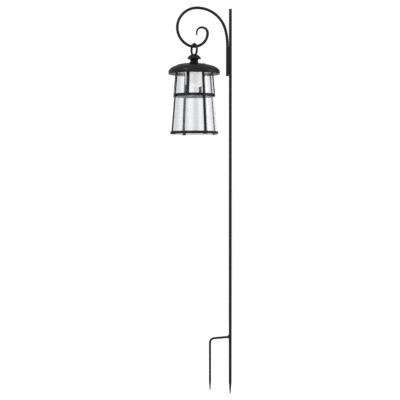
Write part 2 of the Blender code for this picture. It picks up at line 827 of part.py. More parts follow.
# Light unit


def light_housing():
    bore = FIXING_RADIUS + 2 * GAP
    boss_top = ROOF_SEAT_Z - ROOF_SHEET - GAP
    web_low, web_high = HOUSING_WEB_Z
    flange_low, flange_high = HOUSING_FLANGE_Z
    outline = [
        (bore, boss_top),
        (HOUSING_BOSS, boss_top),
        (HOUSING_BOSS, web_high),
        (HOUSING_WALL, web_high),
        (HOUSING_WALL, flange_high),
        (HOUSING_FLANGE, flange_high),
        (HOUSING_FLANGE, flange_low),
        (HOUSING_BORE, flange_low),
        (HOUSING_BORE, web_low),
        (bore, web_low),
    ]
    material = finish("light_housing", (0.03, 0.03, 0.03), 0.55)
    housing = turned("light_housing", outline, material, HOUSING_SIDES)
    low = PLATE_Z[1] + GAP
    high = (web_low + web_high) / 2
    bore = SCREW_RADIUS + GAP
    for i, angle in enumerate(SCREW_ANGLES):
        x = SCREW_CIRCLE * math.cos(angle)
        y = SCREW_CIRCLE * math.sin(angle)
        boss = [(0, high), (SCREW_BOSS, high), (SCREW_BOSS, low), (bore, low), (bore, SCREW_TOP + GAP)]
        boss.append((0, SCREW_TOP + GAP))
        name = f"housing_boss_{i + 1}"
        combine(housing, turned(name, boss, material, SCREW_SIDES, Matrix.Translation((x, y, 0))), "UNION")
    for i in range(CELL_COUNT):
        place = around(i, CELL_COUNT) @ Vector((LEAD_BOARD_RADIUS, 0, 0))
        drill(housing, LEAD_HOLE, web_low - 0.001, web_high + 0.001, place.x, place.y)
    return housing


def base_plate():
    """The pale underside: a rimmed disc with a spigot for the diffuser and openings for what it carries."""
    low, high = PLATE_Z
    spigot = DIFFUSER_RADIUS - DIFFUSER_WALL - GAP
    outline = [
        (LED_OPENING, high),
        (PLATE_RIM, high),
        (PLATE_RIM, PLATE_RIM_TOP),
        (PLATE_RADIUS, PLATE_RIM_TOP),
        (PLATE_RADIUS, low),
        (spigot, low),
        (spigot, SPIGOT_LOW),
        (spigot - SPIGOT_WALL, SPIGOT_LOW),
        (spigot - SPIGOT_WALL, low),
        (LED_OPENING, low),
    ]
    material = pale_plastic("base_plate")
    plate = turned("base_plate", outline, material, HOUSING_SIDES)
    stand_top = BOARD_Z[0] - GAP
    for i, side in enumerate((-1, 1)):
        standoff = [(0, stand_top), (STANDOFF_RADIUS, stand_top), (STANDOFF_RADIUS, low + GAP), (0, low + GAP)]
        place = Matrix.Translation((side * STANDOFF_SPACING, 0, 0))
        combine(plate, turned(f"standoff_{i + 1}", standoff, material, SCREW_SIDES, place), "UNION")
    for angle in SCREW_ANGLES:
        x = SCREW_CIRCLE * math.cos(angle)
        y = SCREW_CIRCLE * math.sin(angle)
        drill(plate, SCREW_RADIUS + GAP, low - 0.001, high + 0.001, x, y)
    drill(plate, DOOR_SCREW_RADIUS + GAP, low - 0.001, high + 0.001, DOOR_SCREW_X, BATTERY_Y)
    half_slot = SWITCH_TRAVEL / 2 + SLIDER_STEM_HALF + GAP
    door = rectangle(*DOOR_OPENING, centre_y=BATTERY_Y)
    slot = rectangle(half_slot, SLIDER_HALF_DEPTH + GAP, centre_y=SWITCH_Y)
    for name, opening in (("door_opening", door), ("switch_slot", slot)):
        combine(plate, prism(name, opening, low - 0.001, high + 0.001, material))
    return plate


def screw(name, x, y, radius, head, levels):
    """A pan-head screw driven upward: levels are the head's underside, the head's seat and the tip."""
    bottom, seat, tip = levels
    edge = 0.0004
    outline = [
        (0, tip),
        (radius - edge, tip),
        (radius, tip - 2 * edge),
        (radius, seat),
        (head, seat),
        (head, bottom + edge),
        (head - edge, bottom),
        (0, bottom),
    ]
    return turned(name, outline, zinc(name), SCREW_SIDES, Matrix.Translation((x, y, 0)))


def base_screw(index):
    angle = SCREW_ANGLES[index]
    x = SCREW_CIRCLE * math.cos(angle)
    y = SCREW_CIRCLE * math.sin(angle)
    return screw(f"base_screw_{index + 1}", x, y, SCREW_RADIUS, SCREW_HEAD, (*SCREW_HEAD_Z, SCREW_TOP))


def circuit_board():
    outline = rectangle(BOARD_SIDE / 2, BOARD_SIDE / 2)
    return prism("circuit_board", outline, *BOARD_Z, finish("circuit_board", (0.02, 0.16, 0.06), 0.4))


def led_lamp():
    low, high = LED_Z
    dome = arc((0.0, low + LED_RADIUS), LED_RADIUS, -math.pi / 2, 0.0, 4)
    outline = [(0, low)] + dome[1:] + [(LED_RADIUS, high - 0.001), (LED_RADIUS + 0.0008, high - 0.001)]
    outline += [(LED_RADIUS + 0.0008, high), (0, high)]
    return turned("led_lamp", outline, finish("led_lamp", (0.95, 0.90, 0.70), 0.15), 16)


def diffuser_line(inset):
    """The diffuser's outline from its rim down to its crowned bottom, moved inward by inset."""
    corner = (DIFFUSER_RADIUS - DIFFUSER_CORNER, DIFFUSER_BOTTOM + DIFFUSER_CORNER)
    rounding = arc(corner, DIFFUSER_CORNER - inset, 0.0, -math.pi / 2, 6)
    middle = [(corner[0] / 2, DIFFUSER_BOTTOM + inset - DIFFUSER_CROWN / 2)]
    bottom = [(0.0, DIFFUSER_BOTTOM + inset - DIFFUSER_CROWN)]
    return [(DIFFUSER_RADIUS - inset, DIFFUSER_TOP)] + rounding + middle + bottom


def diffuser_dome():
    outline = diffuser_line(0.0)[::-1] + diffuser_line(DIFFUSER_WALL)
    return turned("diffuser_dome", outline, finish("diffuser_dome", (0.90, 0.86, 0.78), 0.4))


# Battery bay


def battery_cradle():
    low = PLATE_Z[1] + GAP
    material = finish("battery_cradle", (0.05, 0.05, 0.05), 0.5)
    outline = rectangle(CRADLE_HALF_LENGTH, CRADLE_HALF_WIDTH, centre_y=BATTERY_Y)
    cradle = prism("battery_cradle", outline, low, CRADLE_TOP, material)
    inside = rectangle(
        CRADLE_HALF_LENGTH - CRADLE_WALL, CRADLE_HALF_WIDTH - CRADLE_WALL, centre_y=BATTERY_Y
    )
    return combine(cradle, prism("cradle_inside", inside, low - 0.001, CRADLE_TOP - CRADLE_WALL, material))


def along_bay(x):
    """Stands a part turned about Z along the battery bay, from local x towards +X."""
    return Matrix.Translation((x, BATTERY_Y, BATTERY_Z)) @ Matrix.Rotation(math.pi / 2, 4, "Y")


def bay_end():
    return CRADLE_HALF_LENGTH - CRADLE_WALL - GAP


def battery():
    """A rechargeable AAA cell, its positive nub against the contact."""
    nub_end = bay_end() - CONTACT_THICKNESS - GAP
    start = nub_end - NUB_LENGTH - BATTERY_LENGTH
    outline = [
        (0, 0),
        (BATTERY_RADIUS, 0),
        (BATTERY_RADIUS, BATTERY_LENGTH),
        (NUB_RADIUS, BATTERY_LENGTH),
        (NUB_RADIUS, BATTERY_LENGTH + NUB_LENGTH),
        (0, BATTERY_LENGTH + NUB_LENGTH),
    ]
    return turned("battery", outline, finish("battery", (0.10, 0.35, 0.16), 0.3), 16, along_bay(start))


def battery_contact():
    half = CONTACT_SIZE / 2
    face = Matrix.Translation((0, 0, -CONTACT_THICKNESS))
    plate = rectangle(half, half)
    place = along_bay(bay_end()) @ face
    return prism("battery_contact", plate, 0.0, CONTACT_THICKNESS, zinc("battery_contact"), place)


def battery_spring():
    """A conical spring at the battery's negative end."""
    start = -bay_end() + SPRING_WIRE
    battery_start = bay_end() - CONTACT_THICKNESS - GAP - NUB_LENGTH - BATTERY_LENGTH
    end = battery_start - GAP - SPRING_WIRE
    steps = 10 * SPRING_TURNS
    path = []
    for i in range(steps + 1):
        share = i / steps
        radius = SPRING_RADII[0] + (SPRING_RADII[1] - SPRING_RADII[0]) * share
        turn = math.tau * SPRING_TURNS * share
        y = BATTERY_Y + radius * math.cos(turn)
        z = BATTERY_Z + radius * math.sin(turn)
        path.append((start + (end - start) * share, y, z))
    return rod("battery_spring", path, [SPRING_WIRE] * len(path), zinc("battery_spring"), resolution=1)


def battery_cover():
    """A door that plugs the bay from below, with a tab for its screw."""
    low, high = DOOR_Z
    half_x, half_y = DOOR_FLANGE
    tab_x, tab_y = DOOR_TAB
    outline = [
        (-half_x, -half_y),
        (half_x, -half_y),
        (half_x, -tab_y),
        (tab_x, -tab_y),
        (tab_x, tab_y),
        (half_x, tab_y),
        (half_x, half_y),
        (-half_x, half_y),
    ]
    outline = [(x, y + BATTERY_Y) for x, y in outline]
    material = pale_plastic("battery_cover")
    cover = prism("battery_cover", outline, low, high, material)
    plug = rectangle(DOOR_OPENING[0] - GAP, DOOR_OPENING[1] - GAP, centre_y=BATTERY_Y)
    combine(cover, prism("cover_plug", plug, (low + high) / 2, DOOR_PLUG_TOP, material), "UNION")
    return drill(cover, DOOR_SCREW_RADIUS + GAP, low - 0.001, high + 0.001, DOOR_SCREW_X, BATTERY_Y)


def battery_cover_screw():
    return screw(
        "battery_cover_screw", DOOR_SCREW_X, BATTERY_Y, DOOR_SCREW_RADIUS, DOOR_SCREW_HEAD, DOOR_SCREW_Z
    )


# Power switch


def switch_body():
    low, high = SWITCH_BODY_Z
    outline = rectangle(SWITCH_BODY[0] / 2, SWITCH_BODY[1] / 2, centre_y=SWITCH_Y)
    body = prism("switch_body", outline, low, high, zinc("switch_body"))
    half_slot = SWITCH_TRAVEL / 2 + SLIDER_STEM_HALF + GAP
    recess = rectangle(half_slot, SLIDER_HALF_DEPTH + GAP, centre_y=SWITCH_Y)
    return combine(body, prism("switch_recess", recess, low - 0.001, SWITCH_RECESS_TOP, body.active_material))


def switch_slider():
    """A T-shaped slider: a grip below the plate and a stem up into the switch, resting at off."""
    low, grip, high = SLIDER_Z
    rest = -SWITCH_TRAVEL / 2
    outline = [
        (-SLIDER_GRIP_HALF, low),
        (SLIDER_GRIP_HALF, low),
        (SLIDER_GRIP_HALF, grip),
        (SLIDER_STEM_HALF, grip),
        (SLIDER_STEM_HALF, high),
        (-SLIDER_STEM_HALF, high),
        (-SLIDER_STEM_HALF, grip),
        (-SLIDER_GRIP_HALF, grip),
    ]
    # The outline's second coordinate becomes the height; its thickness lies along Y.
    upright = Matrix.Translation((rest, SWITCH_Y, 0)) @ Matrix.Rotation(math.pi / 2, 4, "X")
    material = finish("switch_slider", (0.02, 0.02, 0.02), 0.4)
    return prism("switch_slider", outline, -SLIDER_HALF_DEPTH, SLIDER_HALF_DEPTH, material, upright)


# Assembly


def build_stand():
    levels = pole_levels()
    pole_upper(levels)
    pole_middle(levels)
    pole_stake(levels)
    pole_stud("pole_stud_upper", levels[1])
    pole_stud("pole_stud_lower", levels[2])
    crook_hook()
    hook_weld("hook_weld_front", -1)
    hook_weld("hook_weld_rear", 1)
    step_prong()
    prong_weld()


def build_cage():
    cage_collar()
    hoop("middle_band", BAND_Z)
    hoop("bottom_ring", BOTTOM_RING_Z)
    for index in range(STRAP_COUNT):
        post(index)
        mullion(index)
    glass_shade()
    glass_gasket()
    foot_seal()


def build_roof():
    finial()
    finial_stud()
    finial_washer()
    finial_nut()
    roof_cap()
    envelope = roof_envelope()
    for index in range(CELL_COUNT):
        solar_cell(index)
        solar_bezel(index, envelope)
        solar_lead(index)


def build_light():
    light_housing()
    base_plate()
    for index in range(len(SCREW_ANGLES)):
        base_screw(index)
    circuit_board()
    led_lamp()
    diffuser_dome()
    battery_cradle()
    battery()
    battery_contact()
    battery_spring()
    battery_cover()
    battery_cover_screw()
    switch_body()


def pivot(name, place, parent=None):
    """An empty on a joint's axis, aligned with the lantern."""
    empty = bpy.data.objects.new(name, None)
    empty.matrix_world = Matrix.Translation(place) @ Matrix.Rotation(LANTERN_YAW, 4, "Z")
    bpy.context.scene.collection.objects.link(empty)
    if parent is not None:
        keep_place(empty, parent)
    return empty


def keep_place(item, parent):
    """Parents item without moving it."""
    bpy.context.view_layer.update()
    item.parent = parent
    item.matrix_parent_inverse = parent.matrix_world.inverted()


def hang(build, parent):
    """Runs a builder, then moves what it made out to the lantern's axis and parents it."""
    before = set(bpy.data.objects)
    build()
    for item in [item for item in bpy.data.objects if item not in before]:
        item.matrix_world = Matrix.Translation((HANG_X, 0, 0)) @ Matrix.Rotation(LANTERN_YAW, 4, "Z")
        keep_place(item, parent)


def main():
    clear_scene()
    build_stand()
    ring_pivot = pivot("ring_pivot", (HANG_X, 0, hang_height()))
    lantern_pivot = pivot("lantern_pivot", (HANG_X, 0, ring_height() - RING_RADIUS), ring_pivot)
    slider_place = Matrix.Rotation(LANTERN_YAW, 4, "Z") @ Vector((-SWITCH_TRAVEL / 2, SWITCH_Y, PLATE_Z[0]))
    slider_pivot = pivot("slider_pivot", Vector((HANG_X, 0, 0)) + slider_place, lantern_pivot)
    hang(hanging_ring, ring_pivot)
    hang(build_roof, lantern_pivot)
    hang(build_cage, lantern_pivot)
    hang(build_light, lantern_pivot)
    hang(switch_slider, slider_pivot)
    bpy.context.view_layer.update()


main()
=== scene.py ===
import math

import bmesh
import bpy
from mathutils import Matrix, Vector


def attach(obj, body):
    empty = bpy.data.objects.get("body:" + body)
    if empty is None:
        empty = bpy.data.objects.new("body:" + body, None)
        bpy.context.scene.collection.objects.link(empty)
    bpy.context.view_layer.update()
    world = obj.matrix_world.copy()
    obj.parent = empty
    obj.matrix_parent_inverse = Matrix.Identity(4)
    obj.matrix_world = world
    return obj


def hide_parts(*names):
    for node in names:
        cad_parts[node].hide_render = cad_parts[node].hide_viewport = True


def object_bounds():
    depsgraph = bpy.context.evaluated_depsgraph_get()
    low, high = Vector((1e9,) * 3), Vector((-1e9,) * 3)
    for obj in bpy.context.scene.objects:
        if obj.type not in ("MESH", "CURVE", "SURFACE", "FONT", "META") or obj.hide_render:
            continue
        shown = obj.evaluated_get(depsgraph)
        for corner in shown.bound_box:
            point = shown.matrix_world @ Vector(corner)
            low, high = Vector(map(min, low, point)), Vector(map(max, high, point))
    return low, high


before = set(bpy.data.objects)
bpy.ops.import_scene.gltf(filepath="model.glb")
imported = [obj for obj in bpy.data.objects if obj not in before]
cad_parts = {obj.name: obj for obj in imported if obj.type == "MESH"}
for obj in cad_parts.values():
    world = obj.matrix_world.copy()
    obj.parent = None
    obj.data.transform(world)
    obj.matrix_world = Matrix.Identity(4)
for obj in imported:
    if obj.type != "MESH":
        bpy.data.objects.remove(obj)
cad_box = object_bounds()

# Dimensions in metres, as in the CAD

GAP = 0.0003
STRAP_GAP = 0.0004
POLE_RADIUS = 0.00475
POLE_TOP = 1.0456
SECTION_LENGTH = 0.4064
SECTION_COUNT = 3
POLE_CHAMFER = 0.0005
POINT_LENGTH = 0.0375
POINT_RADIUS = 0.00175
STUD_RADIUS = 0.0025
STUD_LENGTH = 0.030

CROOK_RADIUS = 0.00445
SHANK_BOTTOM = 0.8337
EASE_RADIUS = 0.185
EASE_ANGLE = math.radians(15)
LOOP_X = -0.1057
LOOP_Z = 0.9871
LOOP_RADIUS = 0.062
HANG_X = -0.1144
CURL_RADIUS = 0.0424
CURL_TOP_RADIUS = 0.018
CURL_END_RADIUS = 0.0165
CURL_END_STRAIGHT = 0.009
CURL_TIP_RADIUS = 0.0022
ARC_STEP = math.radians(2.5)
WELD_LOW = 0.840
WELD_HIGH = 0.926
WELD_BEAD = 0.0019
WELD_BEAD_Y = 0.0019
WELD_PITCH = 0.0023

PRONG_RADIUS = 0.0036
PRONG_TIP_RADIUS = 0.0015
ARM_START_Z = 0.0070
ARM_DROOP = math.radians(5.2)
PRONG_X = -0.0642
PRONG_BEND = 0.014
PRONG_TIP_Z = -0.1629
PRONG_POINT_LENGTH = 0.027
PRONG_WELD_RADIUS = 0.0062
PRONG_WELD_REACH = 0.0040

WIRE_RADIUS = 0.0035
RING_RADIUS = 0.0186

LANTERN_YAW = math.radians(-62.5)
CAP_SPHERE = 0.0238
CAP_TOP = 0.9040
CREST_RADIUS = 0.0150
DISC_RADIUS = 0.0217
DISC_UNDERSIDE = 0.8880
DISH_FLOOR = 0.8943
DISH_RADIUS = 0.0098
LUG_HALF_THICKNESS = 0.0035
LUG_HALF_WIDTH = 0.0135
LUG_ROOT = 0.8930
LUG_HOLE = 0.0042
NECK_RADIUS = 0.0127
FOOT_RADIUS = 0.0238
FIXING_RADIUS = 0.0020
FIXING_BORE_TOP = 0.8860

ROOF_SEAT_Z = 0.8733
ROOF_ARCS = (
    (0.190, math.radians(6), math.radians(18), 10),
    (0.0365, math.radians(18), math.radians(50), 12),
    (0.0091, math.radians(50), math.radians(90), 9),
)
ROOF_RIM_Z = 0.8394
ROOF_SHEET = 0.0012

CELL_COUNT = 4
CELL_CENTRE = 0.043
CELL_ACROSS = 0.0220
CELL_ALONG = 0.0180
CELL_THICKNESS = 0.0005
BEZEL_WIDTH = 0.0015
BEZEL_HEIGHT = 0.0011

CAGE_FOOT_Z = 0.6540
CAGE_FOOT_RADIUS = 0.0760
CAGE_TAPER = 0.0862
SHEET = 0.0018
COLLAR_Z = (0.8462, 0.8532)
COLLAR_BORE = 0.0505
COLLAR_FLANGE = 0.0015
BAND_Z = (0.7685, 0.7774)
BOTTOM_RING_Z = (0.6504, 0.6590)
STRAP_COUNT = 4
STRAP_TOP = 0.8514
POST_FOOT = 0.6492
POST_TAB = 0.0009
LIP_THICKNESS = 0.0012
LIP_CLEARANCE = 0.0004
LIP_TOP = 0.6572
POST_WIDTH_TOP = 0.0076
POST_WIDTH_FOOT = 0.0090
MULLION_WIDTH = 0.0100
GLASS = 0.0022
GLASS_TOP = 0.8480
GASKET_Z = (0.8483, 0.8514)
SEAL_FLOOR_Z = (0.6504, 0.6512)
SEAL_TOP = 0.6572
SEAL_WALL = 0.0010

HOUSING_WALL = 0.0520
HOUSING_BORE = 0.0500
HOUSING_FLANGE = 0.0570
HOUSING_FLANGE_Z = (0.8535, 0.8555)
HOUSING_WEB_Z = (0.8625, 0.8645)
HOUSING_BOSS = 0.0090
PLATE_RADIUS = 0.0545
PLATE_Z = (0.8460, 0.8480)
PLATE_RIM = 0.0515
PLATE_RIM_TOP = 0.8514
SCREW_ANGLES = tuple(math.radians(a) for a in (25, 155, 230, 310))
SCREW_CIRCLE = 0.0460
SCREW_RADIUS = 0.0014
SCREW_HEAD = 0.0028
SCREW_HEAD_Z = (0.8441, 0.8457)
SCREW_TOP = 0.8577
LED_OPENING = 0.0055
DIFFUSER_RADIUS = 0.0285
DIFFUSER_WALL = 0.0015
DIFFUSER_TOP = 0.8457
DIFFUSER_BOTTOM = 0.7995
DIFFUSER_CORNER = 0.0150
DIFFUSER_CROWN = 0.0010
SPIGOT_WALL = 0.0015
SPIGOT_LOW = 0.8405

BATTERY_Y = 0.0354
DOOR_OPENING = (0.0246, 0.0054)
DOOR_FLANGE = (0.0270, 0.0064)
DOOR_TAB = (0.0325, 0.0038)
DOOR_Z = (0.8445, 0.8457)
DOOR_PLUG_TOP = 0.8476
DOOR_SCREW_X = 0.0294
DOOR_SCREW_RADIUS = 0.0010
DOOR_SCREW_HEAD = 0.0019
DOOR_SCREW_Z = (0.8431, 0.8442, 0.8520)
SWITCH_Y = -0.0405
SWITCH_TRAVEL = 0.003
SLIDER_GRIP_HALF = 0.00225
SLIDER_STEM_HALF = 0.0012
SLIDER_HALF_DEPTH = 0.0011
SLIDER_Z = (0.8440, 0.8456, 0.8494)

# Edges, ripples and small details, in metres unless they are counts, angles or shares

EDGE = 0.0005
FINE_EDGE = 0.0003
STRAP_EDGE = 0.0004
GLASS_EDGE = 0.0008
LUG_EDGE = 0.0006
LUG_FLARE = 0.0011
LUG_FLARE_DEPTH = 0.0014
ROD_SIDES = 48
HOOP_SIDES = 144
ROOF_SIDES = 160
GLASS_SIDES = 180
BEVEL_FROM = math.radians(35)
SHARP_FROM = math.radians(50)
STAKE_ROUND_FROM = math.radians(60)
WELD_SAMPLES = 6
WELD_RIPPLE = 0.12
PRONG_WELD_SINK = 0.0030
PRONG_WELD_LOBES = 9
PRONG_WELD_RIPPLE = 0.05
PRONG_WELD_SQUASH = 0.76
BUTT_SPREAD = 5
BUTT_SWELL = 0.12
DISC_STEPS = ((0.0162, 0.8873), (0.0140, 0.8864))
NECK_TOP = 0.8845
NECK_WAIST = 0.0006
NECK_WAIST_Z = (0.8795, 0.8812)
BEAD_RADIUS = 0.0010
BEAD_SINK = 0.0004
BEAD_Z = 0.8829
FLARE_RADIUS = 0.0075
FLARE_Z = 0.8825
FOOT_TOP = 0.8746
CELL_CORNER = 0.0006
BEZEL_CORNER = 0.0010
BEZEL_DEPTH = 0.0026
PLATE_GROOVE_OFFSETS = (0.0022, 0.0028, 0.0034)
PLATE_GROOVE_DEPTH = 0.0005
RECESS_WING = 0.62
RECESS_HALF_WIDTH = 0.11
SCREW_EDGE = 0.0004
DOOR_RIB_COUNT = 5
DOOR_RIB_PITCH = 0.0017
DOOR_RIB_INSET = 0.0040
DOOR_RIB_HALF = (0.0004, 0.0040)
SLIDER_RIB_PITCH = 0.0011
SLIDER_RIB_HALF = 0.0002
RIB_ROOT = 0.0003

# Looks

# Number of painted reflection bands round the glass
GLASS_REFLECTION_BANDS = 12.6
# Strength of the painted glow on the diffuser dome, which is no lamp
DIFFUSER_PAINTED_GLOW = 0.30
SKY_STRENGTH = 1.06
LAMPS_AIM_Z = 0.8
FLOOR_RADIUS = 60
FLOOR_DROP = 0.0005

# The camera stands in front, a little above the pole's middle, and looks slightly down
CAMERA_X = -0.096
CAMERA_Z = 0.515
CAMERA_TARGET_Z = 0.442
CAMERA_DISTANCE = 3.5
CAMERA_LENS = 99.4

AXIS = Matrix.Translation((HANG_X, 0, 0))
LANTERN = Matrix.Translation((HANG_X, 0, 0)) @ Matrix.Rotation(LANTERN_YAW, 4, "Z")
QUARTER = math.pi / 2


# Materials


class Finish:
    """A Principled material whose colour, roughness and bump come from noise in the piece's own frame."""

    def __init__(self, name, **values):
        self.material = bpy.data.materials.new(name)
        self.material.use_nodes = True
        self.tree = self.material.node_tree
        self.shader = self.tree.nodes["Principled BSDF"]
        self.coordinates = self.node("ShaderNodeTexCoord").outputs["Object"]
        for socket, value in values.items():
            self.shader.inputs[socket.replace("_", " ")].default_value = value

    def node(self, kind, **links):
        made = self.tree.nodes.new(kind)
        for socket, value in links.items():
            target = made.inputs[socket]
            if isinstance(value, bpy.types.NodeSocket):
                self.tree.links.new(value, target)
            else:
                target.default_value = value
        return made

    def to(self, socket, source):
        self.tree.links.new(source, self.shader.inputs[socket])
        return self

    def stretched(self, scale):
        """The piece's own coordinates, scaled along each axis."""
        return self.node("ShaderNodeMapping", Vector=self.coordinates, Scale=scale).outputs["Vector"]

    def noise(self, scale, detail=2.0, vector=None):
        return self.node(
            "ShaderNodeTexNoise", Vector=vector or self.coordinates, Scale=scale, Detail=detail
        ).outputs["Fac"]

    def ramp(self, value, low, high, start=0.3, end=0.7):
        """Maps a noise value between start and end onto low to high."""
        mapped = self.node("ShaderNodeMapRange", Value=value)
        for socket, number in (("From Min", start), ("From Max", end), ("To Min", low), ("To Max", high)):
            mapped.inputs[socket].default_value = number
        return mapped.outputs["Result"]

    def mix(self, factor, first, second):
        mixed = self.tree.nodes.new("ShaderNodeMix")
        mixed.data_type = "RGBA"
        self.tree.links.new(factor, mixed.inputs["Factor"])
        for socket, colour in ((mixed.inputs[6], first), (mixed.inputs[7], second)):
            if isinstance(colour, bpy.types.NodeSocket):
                self.tree.links.new(colour, socket)
            else:
                socket.default_value = (*colour, 1.0)
        return mixed.outputs[2]

    def math(self, operation, first, second=0.0):
        made = self.tree.nodes.new("ShaderNodeMath")
        made.operation = operation
        for socket, value in zip(made.inputs, (first, second)):
            if isinstance(value, bpy.types.NodeSocket):
                self.tree.links.new(value, socket)
            else:
                socket.default_value = value
        return made.outputs[0]

    def colour(self, first, second, scale, detail=3.0):
        return self.to("Base Color", self.mix(self.ramp(self.noise(scale, detail), 0, 1), first, second))

    def roughness(self, low, high, scale):
        return self.to("Roughness", self.ramp(self.noise(scale), low, high))

    def grain(self, height, distance, strength=1.0):
        bump = self.node("ShaderNodeBump", Strength=strength, Distance=distance, Height=height)
        return self.to("Normal", bump.outputs["Normal"])


def black_paint():
    """Satin black powder coat: faint orange peel, and a gloss that fades toward the silhouette."""
    paint = Finish("black_powder_coat", Coat_Weight=0.04, Coat_Roughness=0.12)
    facing = paint.node("ShaderNodeLayerWeight", Blend=0.5).outputs["Facing"]
    paint.to("Specular IOR Level", paint.ramp(facing, 0.20, 0.01, 0.15, 0.75))
    paint.colour((0.0020, 0.0020, 0.0022), (0.0042, 0.0042, 0.0045), 45)
    paint.roughness(0.28, 0.38, 30)
    peel = paint.noise(420, 1)
    fine = paint.noise(1500, 2)
    return paint.grain(paint.math("ADD", peel, fine), 0.00002, 0.35).material


def grey_primer(name, dark, light):
    """The thin grey coat on the inside of the roof and the hoops."""
    primer = Finish(name)
    primer.colour((dark, dark, 1.02 * dark), (light, light, 1.02 * light), 60)
    primer.roughness(0.42, 0.58, 40)
    return primer.grain(primer.noise(900, 2), 0.00004, 0.6).material


def clear_glass():
    """Glass with a faint lavender-grey body and broad upright bands of painted reflection; shadow and
    diffuse rays go through.
    """
    glass = Finish("shade_glass", Transmission_Weight=1.0, IOR=1.45)
    turn = glass.node("ShaderNodeTexGradient", Vector=glass.coordinates)
    turn.gradient_type = "RADIAL"
    wander = glass.node("ShaderNodeTexNoise", Scale=1.0, Detail=1.0)
    wander.noise_dimensions = "1D"
    glass.tree.links.new(glass.math("MULTIPLY", turn.outputs["Fac"], 9.0), wander.inputs["W"])
    # Painted reflection: upright light and dark bands in the tint stand in for reflections in the curved
    # wall.
    phase = glass.math("MULTIPLY", glass.math("SUBTRACT", turn.outputs["Fac"], 0.5), GLASS_REFLECTION_BANDS)
    phase = glass.math("ADD", phase, glass.ramp(wander.outputs["Fac"], -0.05, 0.05))
    wave = glass.math("COSINE", glass.math("MULTIPLY", phase, math.tau))
    share = glass.ramp(wave, 1, 0, -1, 1)
    tint = glass.mix(share, (0.78, 0.785, 0.805), (0.93, 0.93, 0.94))
    glass.to("Base Color", tint)
    glass.shader.inputs["Roughness"].default_value = 0.0
    waves = glass.noise(1.0, 1, glass.stretched((55, 55, 5)))
    glass.grain(waves, 0.0003, 0.12)
    path = glass.node("ShaderNodeLightPath")
    passing = glass.math("MAXIMUM", path.outputs["Is Shadow Ray"], path.outputs["Is Diffuse Ray"])
    clear = glass.node("ShaderNodeBsdfTransparent", Color=tint)
    both = glass.node("ShaderNodeMixShader", Fac=passing)
    glass.tree.links.new(glass.shader.outputs["BSDF"], both.inputs[1])
    glass.tree.links.new(clear.outputs["BSDF"], both.inputs[2])
    output = glass.tree.nodes["Material Output"]
    glass.tree.links.new(both.outputs["Shader"], output.inputs["Surface"])
    return glass.material


def frosted_cream():
    """Opal diffuser plastic with a satin face, and a faint painted glow that lifts the shaded dome; it is
    no lamp.
    """
    cream = Finish("diffuser_opal", Subsurface_Weight=0.15, Subsurface_Scale=0.004, Sheen_Weight=0.15)
    # Painted light: a faint cream emission brightens the dome in the roof's shade; the LED inside is not
    # lit.
    cream.shader.inputs["Emission Color"].default_value = (1.0, 0.955, 0.91, 1.0)
    cream.shader.inputs["Emission Strength"].default_value = DIFFUSER_PAINTED_GLOW
    cream.shader.inputs["Subsurface Radius"].default_value = (1.0, 0.8, 0.6)
    cream.colour((0.95, 0.92, 0.88), (0.97, 0.945, 0.91), 30)
    cream.roughness(0.38, 0.50, 45)
    return cream.grain(cream.noise(2200, 2), 0.00002, 0.5).material


def pale_plastic():
    """Moulded off-white plastic with a fine spark-eroded texture."""
    plastic = Finish("base_plate_plastic")
    plastic.colour((0.72, 0.71, 0.68), (0.80, 0.79, 0.76), 35)
    plastic.roughness(0.42, 0.56, 50)
    return plastic.grain(plastic.noise(1600, 3), 0.00004, 0.6).material


def black_plastic():
    plastic = Finish("moulded_black_plastic")
    plastic.colour((0.012, 0.012, 0.012), (0.024, 0.024, 0.025), 40)
    plastic.roughness(0.48, 0.62, 50)
    return plastic.grain(plastic.noise(1500, 3), 0.00005, 0.6).material


def zinc_steel():
    """Bright zinc plate with fine drawing lines."""
    zinc = Finish("zinc_plate", Metallic=1.0)
    zinc.colour((0.50, 0.51, 0.53), (0.62, 0.62, 0.60), 120)
    zinc.roughness(0.24, 0.40, 90)
    return zinc.grain(zinc.noise(1.0, 2, zinc.stretched((2500, 2500, 400))), 0.00002, 0.6).material


def solar_face():
    """A blue-black silicon wafer under clear epoxy, with fine fingers across and two busbars along."""
    cell = Finish("solar_wafer", Coat_Weight=1.0, Coat_Roughness=0.04)
    split = cell.node("ShaderNodeSeparateXYZ", Vector=cell.coordinates)
    along = split.outputs["X"]
    across = split.outputs["Y"]
    fingers = cell.math("LESS_THAN", cell.math("PINGPONG", along, 0.00075), 0.00009)
    offset = cell.math("SUBTRACT", cell.math("ABSOLUTE", across), CELL_ACROSS / 4)
    busbars = cell.math("LESS_THAN", cell.math("ABSOLUTE", offset), 0.0005)
    silver = cell.math("MAXIMUM", cell.math("MULTIPLY", fingers, 0.55), busbars)
    grains = cell.ramp(cell.noise(260, 3), 0, 1)
    wafer = cell.mix(grains, (0.004, 0.007, 0.022), (0.010, 0.018, 0.052))
    cell.to("Base Color", cell.mix(silver, wafer, (0.30, 0.31, 0.33)))
    cell.roughness(0.16, 0.30, 80)
    return cell.grain(silver, 0.00003, 0.6).material


def lamp_lens():
    """Warm-white phosphor under a clear epoxy dome."""
    lamp = Finish("led_phosphor", Coat_Weight=1.0, Coat_Roughness=0.03)
    lamp.colour((0.82, 0.70, 0.32), (0.90, 0.82, 0.50), 300)
    lamp.roughness(0.20, 0.32, 120)
    return lamp.grain(lamp.noise(900, 1), 0.00002, 0.4).material


def green_board():
    """Solder mask with copper tracks showing through it."""
    board = Finish("solder_mask", Coat_Weight=0.4, Coat_Roughness=0.15)
    tracks = board.node("ShaderNodeTexBrick", Vector=board.coordinates, Scale=160.0)
    tracks.inputs["Mortar Size"].default_value = 0.03
    share = board.math("MULTIPLY", tracks.outputs["Fac"], 0.8)
    mask = board.mix(board.ramp(board.noise(200, 2), 0, 1), (0.010, 0.11, 0.035), (0.018, 0.15, 0.050))
    board.to("Base Color", board.mix(share, mask, (0.10, 0.30, 0.09)))
    board.roughness(0.30, 0.42, 90)
    return board.grain(tracks.outputs["Fac"], 0.00004, 0.6).material


